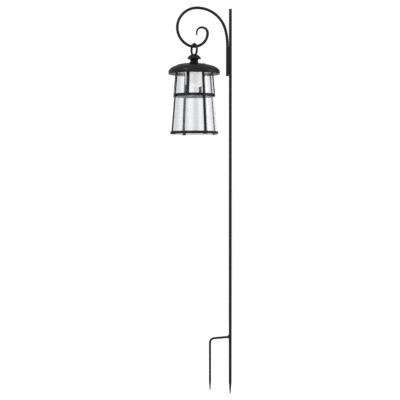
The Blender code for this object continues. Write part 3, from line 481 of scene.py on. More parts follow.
def battery_wrap():
    """A shrunk plastic sleeve, green with a dark band."""
    wrap = Finish("battery_sleeve", Coat_Weight=0.5, Coat_Roughness=0.1)
    wrap.colour((0.03, 0.22, 0.07), (0.05, 0.30, 0.11), 90)
    wrap.roughness(0.22, 0.34, 70)
    return wrap.grain(wrap.noise(300, 2), 0.00005, 0.5).material


def lead_jacket():
    jacket = Finish("lead_insulation")
    jacket.colour((0.26, 0.016, 0.014), (0.36, 0.028, 0.022), 200)
    jacket.roughness(0.40, 0.54, 120)
    return jacket.grain(jacket.noise(1500, 2), 0.00003, 0.5).material


def seal():
    """Soft silicone, slightly matt."""
    rubber = Finish("silicone_seal")
    rubber.colour((0.50, 0.50, 0.49), (0.60, 0.60, 0.58), 80)
    rubber.roughness(0.58, 0.72, 90)
    return rubber.grain(rubber.noise(1200, 2), 0.00004, 0.6).material


# Mesh work


def piece(name, bm, material, place=None):
    """An object from a bmesh, shaded smooth."""
    bmesh.ops.recalc_face_normals(bm, faces=bm.faces)
    mesh = bpy.data.meshes.new(name)
    bm.to_mesh(mesh)
    bm.free()
    mesh.shade_smooth()
    mesh.materials.append(material)
    item = bpy.data.objects.new(name, mesh)
    bpy.context.scene.collection.objects.link(item)
    if place is not None:
        item.matrix_world = place
    return item


def fit(item, body, slot, *nodes):
    """Gives a finished piece its shading and body, and hides the CAD nodes that it stands for; slot is
    not used.
    """
    item.data.set_sharp_from_angle(angle=SHARP_FROM)
    normals = item.modifiers.new("normals", "WEIGHTED_NORMAL")
    normals.keep_sharp = True
    normals.weight = 80
    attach(item, body)
    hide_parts(*nodes)
    return item


def carve(item, *tools, operation="DIFFERENCE"):
    """Cuts or joins item with each tool in turn, and removes the tools."""
    for tool in tools:
        modifier = item.modifiers.new("carve", "BOOLEAN")
        modifier.operation = operation
        modifier.solver = "EXACT"
        modifier.object = tool
    bpy.context.view_layer.update()
    graph = bpy.context.evaluated_depsgraph_get()
    mesh = bpy.data.meshes.new_from_object(item.evaluated_get(graph))
    item.modifiers.clear()
    item.data = mesh
    for tool in tools:
        bpy.data.objects.remove(tool)
    return item


def arc(centre, radius, start, end, steps):
    """Points on a circle from angle start to angle end, both included."""
    angles = [start + (end - start) * i / steps for i in range(steps + 1)]
    return [(centre[0] + radius * math.cos(a), centre[1] + radius * math.sin(a)) for a in angles]


def rounded(outline, radius, steps=3, least=math.radians(25)):
    """Rounds an outline's corners, apart from those on the axis and those that hardly turn."""
    points = []
    for i, corner in enumerate(outline):
        here = Vector(corner)
        back = Vector(outline[i - 1]) - here
        ahead = Vector(outline[(i + 1) % len(outline)]) - here
        turn = math.pi - back.angle(ahead)
        if corner[0] == 0 or turn < least:
            points.append(corner)
            continue
        reach = min(radius * math.tan(turn / 2), 0.45 * back.length, 0.45 * ahead.length)
        start = here + back.normalized() * reach
        end = here + ahead.normalized() * reach
        for k in range(steps + 1):
            t = k / steps
            points.append(tuple((1 - t) ** 2 * start + 2 * t * (1 - t) * here + t**2 * end))
    return points


def lathe(name, outline, material, sides=96, place=None, warp=None):
    """A turned piece from (radius, height) points: a loop, or a chain between two axis points."""
    bm = bmesh.new()
    rings = []
    for radius, height in outline:
        if radius == 0:
            rings.append([bm.verts.new((0, 0, height))])
            continue
        ring = []
        for k in range(sides):
            angle = math.tau * k / sides
            x, y, z = radius * math.cos(angle), radius * math.sin(angle), height
            ring.append(bm.verts.new(warp(x, y, z, angle) if warp else (x, y, z)))
        rings.append(ring)
    followers = rings[1:] + (rings[:1] if outline[0][0] > 0 else [])
    for first, second in zip(rings, followers):
        for k in range(sides):
            corners = [first[k % len(first)], first[(k + 1) % sides % len(first)]]
            corners += [second[(k + 1) % sides % len(second)], second[k % len(second)]]
            corners = list(dict.fromkeys(corners))
            if len(corners) > 2:
                bm.faces.new(corners)
    return piece(name, bm, material, place)


def sweep(name, path, radii, material, sides=24, place=None):
    """A round rod in the XZ plane along (x, z) points, with its own radius at each point."""
    bm = bmesh.new()
    rings = []
    for i, ((x, z), radius) in enumerate(zip(path, radii)):
        ahead = Vector(path[min(i + 1, len(path) - 1)])
        along = (ahead - Vector(path[max(i - 1, 0)])).normalized()
        ring = []
        for k in range(sides):
            out = radius * math.cos(math.tau * k / sides)
            y = radius * math.sin(math.tau * k / sides)
            ring.append(bm.verts.new((x - along.y * out, y, z + along.x * out)))
        rings.append(ring)
    for first, second in zip(rings, rings[1:]):
        for k in range(sides):
            j = (k + 1) % sides
            bm.faces.new((first[k], first[j], second[j], second[k]))
    bm.faces.new(rings[0])
    bm.faces.new(rings[-1])
    return piece(name, bm, material, place)


def rounded_end(path, radii, size, steps=5):
    """Rounds a rod's far end over a length; size up to the end's radius, which makes it a dome."""
    tip = Vector(path[-1])
    along = (tip - Vector(path[-2])).normalized()
    core = radii[-1] - size
    for i in range(steps + 1):
        angle = 0.93 * QUARTER * i / steps
        path.append(tuple(tip - along * size * (1 - math.sin(angle))))
        radii.append(core + size * math.cos(angle))
    del path[-steps - 2]
    del radii[-steps - 2]


def rounded_ends(path, radii, far, near):
    """Rounds both of a rod's ends, and leaves it reversed."""
    rounded_end(path, radii, far)
    path.reverse()
    radii.reverse()
    rounded_end(path, radii, near)


def bevel_edges(bm, size):
    bmesh.ops.recalc_face_normals(bm, faces=bm.faces)
    edges = [edge for edge in bm.edges if edge.calc_face_angle(0) > BEVEL_FROM]
    bmesh.ops.bevel(bm, geom=edges, offset=size, segments=3, profile=0.5, affect="EDGES")


def prism(name, outline, low, high, material, bevel=0.0, place=None, upright=None):
    """An outline of (x, y) points extruded along Z, its edges rounded by bevel."""
    bm = bmesh.new()
    base = bm.faces.new([bm.verts.new((x, y, low)) for x, y in outline])
    grown = bmesh.ops.extrude_face_region(bm, geom=[base])
    raised = [item for item in grown["geom"] if isinstance(item, bmesh.types.BMVert)]
    bmesh.ops.translate(bm, vec=(0, 0, high - low), verts=raised)
    if bevel > 0:
        bevel_edges(bm, bevel)
    if upright is not None:
        bmesh.ops.transform(bm, matrix=upright, verts=bm.verts)
    return piece(name, bm, material, place)


def drill(name, spot, bore, levels, material):
    """A tool that bores a round hole right through a plate."""
    low, high = levels
    outline = [(0, low - GAP), (bore, low - GAP), (bore, high + GAP), (0, high + GAP)]
    return lathe(name, outline, material, 24, Matrix.Translation((*spot, 0)))


def rectangle(half_x, half_y, centre_x=0.0, centre_y=0.0):
    corners = ((-1, -1), (1, -1), (1, 1), (-1, 1))
    return [(centre_x + sx * half_x, centre_y + sy * half_y) for sx, sy in corners]


def walk(start, heading, moves):
    """(x, z, distance) points along moves: straights (None, length) and left-hand arcs (radius, turn)."""
    x, z = start
    distance = 0.0
    points = [(x, z, distance)]
    for radius, amount in moves:
        if radius is None:
            x += amount * math.cos(heading)
            z += amount * math.sin(heading)
            distance += amount
            points.append((x, z, distance))
            continue
        steps = max(1, math.ceil(amount / ARC_STEP))
        centre = (x - radius * math.sin(heading), z + radius * math.cos(heading))
        for i in range(1, steps + 1):
            turn = heading + amount * i / steps
            point = (centre[0] + radius * math.sin(turn), centre[1] - radius * math.cos(turn))
            points.append((*point, distance + radius * amount * i / steps))
        x, z, distance = points[-1]
        heading += amount
    return points


def cage_radius(height):
    return CAGE_FOOT_RADIUS - CAGE_TAPER * (height - CAGE_FOOT_Z)


def strap_radius(height):
    """Inner radius of the straps, outside the hoops."""
    return cage_radius(height) + STRAP_GAP


def glass_radius(height):
    """Outer radius of the glass, inside the hoops."""
    return cage_radius(height) - SHEET - GAP


def wall_section(radius, outward, inward, levels):
    """The four corners of a conical wall whose faces lie outward and inward of radius(height)."""
    low, high = levels
    return [
        (radius(high) + outward, high),
        (radius(low) + outward, low),
        (radius(low) - inward, low),
        (radius(high) - inward, high),
    ]


# Stand


def stud_bore(end, direction):
    """The bored end of a pole section, from the bore's mouth to its floor on the axis."""
    depth = STUD_LENGTH / 2 + GAP
    bore = STUD_RADIUS + GAP
    return [(bore, end), (bore, end + direction * depth), (0, end + direction * depth)]


def build_pole(paint):
    """Three sections, bored for studs where they meet; the last one has the ground point."""
    levels = [POLE_TOP - SECTION_LENGTH * i for i in range(SECTION_COUNT + 1)]
    for index, label in enumerate(("upper", "middle", "stake")):
        high = levels[index] - (GAP / 2 if index else 0)
        outline = stud_bore(high, -1)[::-1] if index else [(0, high)]
        outline.append((POLE_RADIUS, high))
        tip = levels[index + 1]
        if index == SECTION_COUNT - 1:
            outline.append((POLE_RADIUS, tip + POINT_LENGTH))
            outline += arc((0, tip + POINT_RADIUS), POINT_RADIUS, 0, -QUARTER, 6)[:-1] + [(0, tip)]
        else:
            outline += [(POLE_RADIUS, tip + GAP / 2)] + stud_bore(tip + GAP / 2, 1)
        outline = rounded(outline, POLE_CHAMFER / 2, least=STAKE_ROUND_FROM)
        rod = lathe(f"pole_{label}_rod", outline, paint, ROD_SIDES)
        fit(rod, "stand", "black_paint", f"pole_{label}")


def shank_x():
    return -(POLE_RADIUS + GAP + CROOK_RADIUS)


def curl_start():
    return math.tau - math.acos((HANG_X - LOOP_X) / (LOOP_RADIUS - CURL_RADIUS))


def crook_path():
    """(x, z, distance) along the crook, and the distance at which its taper begins."""
    rise_radius = (shank_x() - LOOP_X - EASE_RADIUS * (1 - math.cos(EASE_ANGLE))) / math.cos(EASE_ANGLE)
    rise_start = LOOP_Z + LOOP_RADIUS - rise_radius * (1 - math.sin(EASE_ANGLE))
    rise_start -= EASE_RADIUS * math.sin(EASE_ANGLE)
    moves = [
        (None, rise_start - SHANK_BOTTOM),
        (EASE_RADIUS, EASE_ANGLE),
        (rise_radius, QUARTER - EASE_ANGLE),
        (LOOP_RADIUS, curl_start() - QUARTER),
        (CURL_RADIUS, math.tau - curl_start()),
    ]
    start = (shank_x(), SHANK_BOTTOM)
    taper_start = walk(start, QUARTER, moves)[-1][2]
    moves += [
        (CURL_TOP_RADIUS, QUARTER),
        (CURL_END_RADIUS, QUARTER),
        (None, CURL_END_STRAIGHT),
    ]
    return walk(start, QUARTER, moves), taper_start


def crook_radius(distance, taper_start, length):
    share = max(0.0, (distance - taper_start) / (length - taper_start))
    return CROOK_RADIUS + (CURL_TIP_RADIUS - CROOK_RADIUS) * share


def hang_height():
    return LOOP_Z + (LOOP_RADIUS - CURL_RADIUS) * math.sin(curl_start()) - CURL_RADIUS


def build_crook(paint):
    points, taper_start = crook_path()
    length = points[-1][2]
    radii = [crook_radius(distance, taper_start, length) for _, _, distance in points]
    path = [(x, z) for x, z, _ in points]
    rounded_ends(path, radii, radii[-1], POLE_CHAMFER)
    fit(sweep("crook_rod", path, radii, paint, 32), "stand", "black_paint", "crook_hook")


def build_hook_welds(paint):
    """Two rippled beads that fill the grooves between the pole and the shank."""
    pole_face = POLE_RADIUS + GAP
    rod_face = CROOK_RADIUS + GAP
    spacing = -shank_x()
    groove = (pole_face**2 - rod_face**2 + spacing**2) / (2 * spacing)
    steps = round((WELD_HIGH - WELD_LOW) / WELD_PITCH) * WELD_SAMPLES
    path = [(-groove, WELD_LOW + (WELD_HIGH - WELD_LOW) * i / steps) for i in range(steps + 1)]
    ripples = [abs(math.sin(math.pi * i / WELD_SAMPLES)) for i in range(steps + 1)]
    radii = [WELD_BEAD * (1 - WELD_RIPPLE + WELD_RIPPLE * ripple) for ripple in ripples]
    rounded_ends(path, radii, radii[-1], radii[0])
    for side, label in ((-1, "front"), (1, "rear")):
        place = Matrix.Translation((0, side * WELD_BEAD_Y, 0))
        bead = sweep(f"hook_weld_{label}_bead", path, radii, paint, 16, place)
        fit(bead, "stand", "black_paint", f"hook_weld_{label}")


def build_prong(paint):
    start_x = -(POLE_RADIUS - GAP)
    heading = math.pi + ARM_DROOP
    bend_x = PRONG_BEND * (1 + math.sin(heading))
    arm = (start_x - PRONG_X - bend_x) / math.cos(ARM_DROOP)
    bend = QUARTER - ARM_DROOP
    elbow_z = ARM_START_Z - arm * math.sin(ARM_DROOP) - PRONG_BEND * math.cos(ARM_DROOP)
    straight = elbow_z - PRONG_TIP_Z - PRONG_POINT_LENGTH
    moves = [(None, arm), (PRONG_BEND, bend), (None, straight), (None, PRONG_POINT_LENGTH)]
    points = walk((start_x, ARM_START_Z), heading, moves)
    path = [(x, z) for x, z, _ in points]
    radii = [PRONG_RADIUS] * (len(points) - 1) + [PRONG_TIP_RADIUS]
    rounded_end(path, radii, PRONG_TIP_RADIUS)
    fit(sweep("step_prong_rod", path, radii, paint), "stand", "black_paint", "step_prong")


def build_prong_weld(paint):
    """A rippled fillet round the arm's root, narrower across than the pole."""
    toe = PRONG_WELD_RADIUS - PRONG_RADIUS
    hollow = arc((PRONG_WELD_RADIUS, PRONG_WELD_REACH), toe, -QUARTER, -math.pi, 6)
    root = PRONG_WELD_REACH - toe
    bore = PRONG_RADIUS - GAP
    outline = [(bore, -PRONG_WELD_SINK), (PRONG_WELD_RADIUS, -PRONG_WELD_SINK)]
    outline += [(PRONG_WELD_RADIUS, root - GAP)] + hollow + [(bore, PRONG_WELD_REACH)]

    def ripple(x, y, z, angle):
        grow = 1 + PRONG_WELD_RIPPLE * abs(math.sin(PRONG_WELD_LOBES * angle))
        return (x * grow, PRONG_WELD_SQUASH * y * grow, z)

    along_arm = Matrix.Rotation(-QUARTER - ARM_DROOP, 4, "Y")
    place = Matrix.Translation((-POLE_RADIUS, 0.0, ARM_START_Z)) @ along_arm
    fillet = lathe("prong_weld_fillet", outline, paint, 72, place, ripple)
    fit(fillet, "stand", "black_paint", "prong_weld")


# Hanging ring


def ring_height():
    return hang_height() + CROOK_RADIUS + GAP - (RING_RADIUS - WIRE_RADIUS)


def build_ring(paint):
    """A bent wire ring, slightly swollen at its butt weld."""

    def butt(x, y, z, angle):
        near = math.exp(-((math.degrees(angle - math.pi) / BUTT_SPREAD) ** 2))
        centre = Vector((RING_RADIUS * math.cos(angle), RING_RADIUS * math.sin(angle), 0))
        return centre + (Vector((x, y, z)) - centre) * (1 + BUTT_SWELL * near)

    wire = arc((RING_RADIUS, 0.0), WIRE_RADIUS, 0.0, math.tau, 20)[:-1]
    upright = Matrix.Translation((0, 0, ring_height())) @ Matrix.Rotation(QUARTER, 4, "X")
    ring = lathe("hanging_ring_wire", wire, paint, 96, LANTERN @ upright, butt)
    fit(ring, "hanging_ring", "black_paint", "hanging_ring")


# Finial


def finial_outline():
    centre = (0.0, CAP_TOP - CAP_SPHERE)
    crest = math.acos(CREST_RADIUS / CAP_SPHERE)
    edge = math.acos(DISC_RADIUS / CAP_SPHERE)
    bead = (NECK_RADIUS - BEAD_SINK, BEAD_Z)
    flare = (NECK_RADIUS + FLARE_RADIUS, FLARE_Z)
    waist_low, waist_high = NECK_WAIST_Z
    waist = NECK_RADIUS - NECK_WAIST
    outline = [(0, DISH_FLOOR), (DISH_RADIUS, DISH_FLOOR)]
    outline += arc(centre, CAP_SPHERE, crest, edge, 10)
    outline += [(DISC_RADIUS, DISC_UNDERSIDE)]
    outline += [*DISC_STEPS, (NECK_RADIUS, NECK_TOP)]
    outline += arc(bead, BEAD_RADIUS, math.pi / 3, -math.pi / 3, 6)
    outline += [(waist, waist_high), (waist, waist_low)]
    outline += arc(flare, FLARE_RADIUS, math.radians(205), math.radians(262), 10)
    outline += [(FOOT_RADIUS, FOOT_TOP), (FOOT_RADIUS, ROOF_SEAT_Z + GAP / 3)]
    bore = FIXING_RADIUS + GAP
    outline += [(bore, ROOF_SEAT_Z + GAP / 3), (bore, FIXING_BORE_TOP), (0, FIXING_BORE_TOP)]
    return rounded(outline, EDGE, 4)


def lug_hole_height():
    bore = RING_RADIUS - WIRE_RADIUS
    wire_top = ring_height() - math.sqrt(bore**2 - LUG_HALF_THICKNESS**2)
    return wire_top + GAP - LUG_HOLE


def build_finial(paint):
    body = lathe("finial_casting", finial_outline(), paint, 96)
    centre = CAP_TOP - CAP_SPHERE
    half_turn = math.asin(LUG_HALF_WIDTH / CAP_SPHERE)
    top = arc((0.0, centre), CAP_SPHERE, QUARTER - half_turn, QUARTER + half_turn, 16)
    outline = [(-LUG_HALF_WIDTH, LUG_ROOT), (LUG_HALF_WIDTH, LUG_ROOT)] + top
    # Stands the lug's outline up in the local YZ plane, with its thickness along X.
    upright = Matrix(((0, 0, 1, 0), (1, 0, 0, 0), (0, 1, 0, 0), (0, 0, 0, 1)))
    half = LUG_HALF_THICKNESS
    lug = prism("lug", outline, -half, half, paint, LUG_EDGE, upright=upright)
    flare = LUG_HOLE + LUG_FLARE
    hole = [(0, -2 * half), (flare, -2 * half), (flare, -half)]
    hole += [(LUG_HOLE + FINE_EDGE, -half + LUG_EDGE), (LUG_HOLE, -half + LUG_FLARE_DEPTH)]
    hole += [(r, -z) for r, z in reversed(hole[1:])] + [(0, 2 * half)]
    along = Matrix.Translation((0, 0, lug_hole_height())) @ Matrix.Rotation(QUARTER, 4, "Y")
    cutter = lathe("lug_hole", hole, paint, ROD_SIDES, along)
    carve(body, lug, operation="UNION")
    carve(body, cutter)
    body.matrix_world = LANTERN
    fit(body, "lantern", "black_paint", "finial")


# Roof and solar cells


def roof_line(offset=0.0):
    """The roof's outline from its seat to its rim, moved inward by offset along its normal."""
    radius = FOOT_RADIUS
    height = ROOF_SEAT_Z
    first_slope = ROOF_ARCS[0][1]
    points = [(radius - offset * math.sin(first_slope), height - offset * math.cos(first_slope))]
    for bend, first, last, steps in ROOF_ARCS:
        for i in range(1, steps + 1):
            slope = first + (last - first) * i / steps
            x = radius + bend * (math.sin(slope) - math.sin(first))
            z = height - bend * (math.cos(first) - math.cos(slope))
            points.append((x - offset * math.sin(slope), z - offset * math.cos(slope)))
        radius += bend * (math.sin(last) - math.sin(first))
        height -= bend * (math.cos(first) - math.cos(last))
    return points + [(points[-1][0], ROOF_RIM_Z)]


def roof_point(radius):
    """Height and slope of the roof's outer face at a radius on its top arc."""
    bend, first, _, _ = ROOF_ARCS[0]
    slope = math.asin(math.sin(first) + (radius - FOOT_RADIUS) / bend)
    return ROOF_SEAT_Z - bend * (math.cos(first) - math.cos(slope)), slope


def line(item, primer, under_from):
    """Lines a turned sheet: its faces toward the axis, and those that look down above a height."""
    item.data.materials.append(primer)
    for face in item.data.polygons:
        inward = -face.normal.xy.dot(face.center.xy.normalized())
        under = face.normal.z < -0.5 and face.center.z > under_from
        face.material_index = int(inward > 0.2 or under)


def build_roof(paint, primer):
    bore = FIXING_RADIUS + 2 * GAP
    outline = [(bore, ROOF_SEAT_Z)] + roof_line()
    outline += roof_line(ROOF_SHEET)[::-1] + [(bore, ROOF_SEAT_Z - ROOF_SHEET)]
    outline = rounded(outline, ROOF_SHEET * 0.48, 4, math.radians(60))
    roof = lathe("roof_pressing", outline, paint, ROOF_SIDES, AXIS)
    line(roof, primer, ROOF_RIM_Z + 2 * ROOF_SHEET)
    fit(roof, "lantern", "black_paint", "roof_cap")


def cell_place(index):
    height, slope = roof_point(CELL_CENTRE)
    tilt = Matrix.Rotation(slope, 4, "Y")
    turn = Matrix.Rotation(math.tau * index / CELL_COUNT, 4, "Z")
    return LANTERN @ turn @ Matrix.Translation((CELL_CENTRE, 0, height)) @ tilt


def rounded_box(half_x, half_y, corner, steps=5):
    """(x, y, outward normal) points round a rectangle with round corners."""
    points = []
    for index, (sx, sy) in enumerate(((1, 1), (-1, 1), (-1, -1), (1, -1))):
        centre = Vector((sx * (half_x - corner), sy * (half_y - corner)))
        for k in range(steps + 1):
            angle = QUARTER * (index + k / steps)
            normal = Vector((math.cos(angle), math.sin(angle)))
            points.append((centre + corner * normal, normal))
    return points


def build_cells(silicon):
    outline = [tuple(p) for p, _ in rounded_box(CELL_ALONG / 2, CELL_ACROSS / 2, CELL_CORNER)]
    low = 2 * GAP
    high = low + CELL_THICKNESS
    for index in range(CELL_COUNT):
        node = f"solar_cell_{index + 1}"
        cell = prism(f"{node}_wafer", outline, low, high, silicon, 0.0002, cell_place(index))
        fit(cell, "lantern", "solar_face", node)


def build_bezels(paint):
    """Moulded frames with rounded tops, their undersides cut to the roof's curve."""
    low = -BEZEL_DEPTH
    profile = [(0, low), (BEZEL_WIDTH, low), (BEZEL_WIDTH, BEZEL_HEIGHT), (0, BEZEL_HEIGHT)]
    # Moved off the axis while it is rounded, since corners on the axis stay sharp.
    profile = rounded([(x + 1, z) for x, z in profile], EDGE, 4)
    profile = [(x - 1, z) for x, z in profile]
    seat = [(0, ROOF_SEAT_Z)] + roof_line(-GAP / 6) + [(0, ROOF_RIM_Z)]
    for index in range(CELL_COUNT):
        bm = bmesh.new()
        rings = []
        for point, normal in rounded_box(CELL_ALONG / 2 + GAP, CELL_ACROSS / 2 + GAP, BEZEL_CORNER):
            spots = [point + normal * out for out, _ in profile]
            rings.append([bm.verts.new((*spot, z)) for spot, (_, z) in zip(spots, profile)])
        for i, ring in enumerate(rings):
            following = rings[(i + 1) % len(rings)]
            for k in range(len(profile)):
                j = (k + 1) % len(profile)
                bm.faces.new((ring[k], ring[j], following[j], following[k]))
        bezel = piece(f"solar_bezel_{index + 1}_frame", bm, paint, cell_place(index))
        carve(bezel, lathe("roof_seat", seat, paint, ROOF_SIDES, LANTERN))
        fit(bezel, "lantern", "black_paint", f"solar_bezel_{index + 1}")


# Cage


def hoop(name, levels, paint, primer, node):
    outline = wall_section(cage_radius, 0, SHEET, levels)
    item = lathe(name, rounded(outline, EDGE), paint, HOOP_SIDES, AXIS)
    line(item, primer, levels[1])
    fit(item, "lantern", "black_paint", node)


def build_collar(paint):
    low, high = COLLAR_Z
    under = high - COLLAR_FLANGE
    outline = [
        (COLLAR_BORE, high),
        (cage_radius(high), high),
        (cage_radius(low), low),
        (cage_radius(low) - SHEET, low),
        (cage_radius(under) - SHEET, under),
        (COLLAR_BORE, under),
    ]
    collar = lathe("cage_collar_pressing", rounded(outline, EDGE), paint, HOOP_SIDES, AXIS)
    fit(collar, "lantern", "black_paint", "cage_collar")


def strap(name, outline, widths, angle, paint, node):
    """A flat strap with rounded edges, from a side outline of (radius, height) points."""
    bm = bmesh.new()
    low = min(z for _, z in outline)
    high = max(z for _, z in outline)
    sides = []
    for sign in (-1, 1):
        points = []
        for radius, z in outline:
            width = widths[0] + (widths[1] - widths[0]) * (z - low) / (high - low)
            points.append(bm.verts.new((radius, sign * width / 2, z)))
        sides.append(points)
        bm.faces.new(points)
    for i in range(len(outline)):
        j = (i + 1) % len(outline)
        bm.faces.new((sides[0][i], sides[0][j], sides[1][j], sides[1][i]))
    bevel_edges(bm, STRAP_EDGE)
    place = LANTERN @ Matrix.Rotation(angle, 4, "Z")
    fit(piece(name, bm, paint, place), "lantern", "black_paint", node)


def post_outline():
    """A full-height strap whose foot is folded under the glass and up inside it as a lip."""
    tab_top = POST_FOOT + POST_TAB
    lip_outer = glass_radius(LIP_TOP) - GLASS - SEAL_WALL - 2 * GAP - LIP_CLEARANCE
    lip_inner = lip_outer - LIP_THICKNESS
    return [
        (strap_radius(STRAP_TOP) + SHEET, STRAP_TOP),
        (strap_radius(POST_FOOT) + SHEET, POST_FOOT),
        (lip_inner, POST_FOOT),
        (lip_inner, LIP_TOP),
        (lip_outer, LIP_TOP),
        (lip_outer, tab_top),
        (strap_radius(tab_top), tab_top),
        (strap_radius(STRAP_TOP), STRAP_TOP),
    ]


def build_straps(paint):
    """Posts of full height, and mullions half-way between them from the collar to the middle band."""
    mullion = wall_section(strap_radius, SHEET, 0, (BAND_Z[0], STRAP_TOP))
    for index in range(STRAP_COUNT):
        number = index + 1
        widths = (POST_WIDTH_FOOT, POST_WIDTH_TOP)
        angle = math.tau * index / STRAP_COUNT
        strap(f"post_{number}_strap", post_outline(), widths, angle, paint, f"post_{number}")
        widths = (MULLION_WIDTH, MULLION_WIDTH)
        angle = math.tau * (index + 0.5) / STRAP_COUNT
        strap(f"mullion_{number}_strap", mullion, widths, angle, paint, f"mullion_{number}")


def build_glass(glass):
    outline = wall_section(glass_radius, 0, GLASS, (SEAL_FLOOR_Z[1] + GAP, GLASS_TOP))
    shade = lathe("glass_shade_cone", rounded(outline, GLASS_EDGE, 4), glass, GLASS_SIDES, AXIS)
    fit(shade, "lantern", "clear_glass", "glass_shade")


def build_seals(rubber):
    low, high = GASKET_Z
    outer = glass_radius(GLASS_TOP) - GAP
    inner = outer - GLASS + 2 * GAP
    outline = rounded([(outer, high), (outer, low), (inner, low), (inner, high)], FINE_EDGE)
    gasket = lathe("glass_gasket_ring", outline, rubber, HOOP_SIDES, AXIS)
    fit(gasket, "lantern", "seal", "glass_gasket")
    low, floor = SEAL_FLOOR_Z
    inset = GLASS + GAP
    outline = [
        (glass_radius(low), low),
        (glass_radius(floor), floor),
        (glass_radius(floor) - inset, floor),
        (glass_radius(SEAL_TOP) - inset, SEAL_TOP),
        (glass_radius(SEAL_TOP) - inset - SEAL_WALL, SEAL_TOP),
        (glass_radius(low) - inset - SEAL_WALL, low),
    ]
    foot = lathe("foot_seal_ring", rounded(outline, FINE_EDGE), rubber, HOOP_SIDES, AXIS)
    fit(foot, "lantern", "seal", "foot_seal")


# Light unit


def build_housing(plastic):
    bore = FIXING_RADIUS + 2 * GAP
    boss_top = ROOF_SEAT_Z - ROOF_SHEET - GAP
    web_low, web_high = HOUSING_WEB_Z
    flange_low, flange_high = HOUSING_FLANGE_Z
    outline = [
        (bore, boss_top),
        (HOUSING_BOSS, boss_top),
        (HOUSING_BOSS, web_high),
        (HOUSING_WALL, web_high),
        (HOUSING_WALL, flange_high),
        (HOUSING_FLANGE, flange_high),
        (HOUSING_FLANGE, flange_low),
        (HOUSING_BORE, flange_low),
        (HOUSING_BORE, web_low),
        (bore, web_low),
    ]
    housing = lathe("light_housing_tub", rounded(outline, EDGE), plastic, 120, AXIS)
    fit(housing, "lantern", "black_plastic", "light_housing")


def screw_spots():
    return [(SCREW_CIRCLE * math.cos(a), SCREW_CIRCLE * math.sin(a)) for a in SCREW_ANGLES]


def build_plate(plastic):
    low, high = PLATE_Z
    groove = [PLATE_RADIUS - offset for offset in PLATE_GROOVE_OFFSETS]
    spigot = DIFFUSER_RADIUS - DIFFUSER_WALL - GAP
    outline = [
        (LED_OPENING, high),
        (PLATE_RIM, high),
        (PLATE_RIM, PLATE_RIM_TOP),
        (PLATE_RADIUS, PLATE_RIM_TOP),
        (PLATE_RADIUS, low),
        (groove[0], low),
        (groove[1], low + PLATE_GROOVE_DEPTH),
        (groove[2], low),
        (spigot, low),
        (spigot, SPIGOT_LOW),
        (spigot - SPIGOT_WALL, SPIGOT_LOW),
        (spigot - SPIGOT_WALL, low),
        (LED_OPENING, low),
    ]
    plate = lathe("base_plate_moulding", rounded(outline, FINE_EDGE), plastic, HOOP_SIDES)
    bore = SCREW_RADIUS + GAP
    tools = [drill("plate_bore", spot, bore, PLATE_Z, plastic) for spot in screw_spots()]
    half_slot = SWITCH_TRAVEL / 2 + SLIDER_STEM_HALF + GAP
    slot = rectangle(half_slot, SLIDER_HALF_DEPTH + GAP, centre_y=SWITCH_Y)
    door = rectangle(*DOOR_OPENING, centre_y=BATTERY_Y)
    tools.append(prism("plate_slot", slot, low - GAP, high + GAP, plastic))
    tools.append(prism("plate_door", door, low - GAP, high + GAP, plastic))
    carve(plate, *tools)
    plate.matrix_world = LANTERN
    fit(plate, "lantern", "pale_plastic", "base_plate")


def build_screw(name, spot, radii, levels, zinc, node):
    """A pan-head screw driven upward, with a cross recess in its head."""
    radius, head = radii
    bottom, seat, tip = levels
    edge = SCREW_EDGE
    head_line = arc((head - 2 * edge, bottom + 2 * edge), 2 * edge, 0, -QUARTER, 5)
    outline = [(0, tip), (radius - edge, tip), (radius, tip - 2 * edge), (radius, seat), (head, seat)]
    outline += head_line + [(0, bottom - edge / 4)]
    screw = lathe(name, outline, zinc, 32)
    wing = RECESS_WING * head
    thick = RECESS_HALF_WIDTH * head
    deep = bottom + 0.5 * (seat - bottom)
    cross = [prism("wing_x", rectangle(wing, thick), bottom - edge, deep, zinc)]
    cross.append(prism("wing_y", rectangle(thick, wing), bottom - edge, deep, zinc))
    carve(screw, *cross)
    screw.matrix_world = LANTERN @ Matrix.Translation((*spot, 0))
    fit(screw, "lantern", "zinc_steel", node)


def build_screws(zinc):
    levels = (*SCREW_HEAD_Z, SCREW_TOP)
    radii = (SCREW_RADIUS, SCREW_HEAD)
    for number, spot in enumerate(screw_spots(), 1):
        node = f"base_screw_{number}"
        build_screw(f"{node}_pan_head", spot, radii, levels, zinc, node)
    spot = (DOOR_SCREW_X, BATTERY_Y)
    radii = (DOOR_SCREW_RADIUS, DOOR_SCREW_HEAD)
    build_screw("cover_screw_pan_head", spot, radii, DOOR_SCREW_Z, zinc, "battery_cover_screw")


def diffuser_line(inset):
    corner = (DIFFUSER_RADIUS - DIFFUSER_CORNER, DIFFUSER_BOTTOM + DIFFUSER_CORNER)
    rounding = arc(corner, DIFFUSER_CORNER - inset, 0.0, -QUARTER, 16)
    middle = []
    for i in range(1, 6):
        share = i / 6
        crown = DIFFUSER_CROWN * math.sin(QUARTER * share) ** 2
        middle.append((corner[0] * (1 - share), DIFFUSER_BOTTOM + inset - crown))
    bottom = [(0.0, DIFFUSER_BOTTOM + inset - DIFFUSER_CROWN)]
    return [(DIFFUSER_RADIUS - inset, DIFFUSER_TOP)] + rounding + middle + bottom


def build_diffuser(cream):
    outline = diffuser_line(0.0)[::-1] + diffuser_line(DIFFUSER_WALL)
    dome = lathe("diffuser_dome_opal", outline, cream, 96, AXIS)
    fit(dome, "lantern", "frosted_cream", "diffuser_dome")


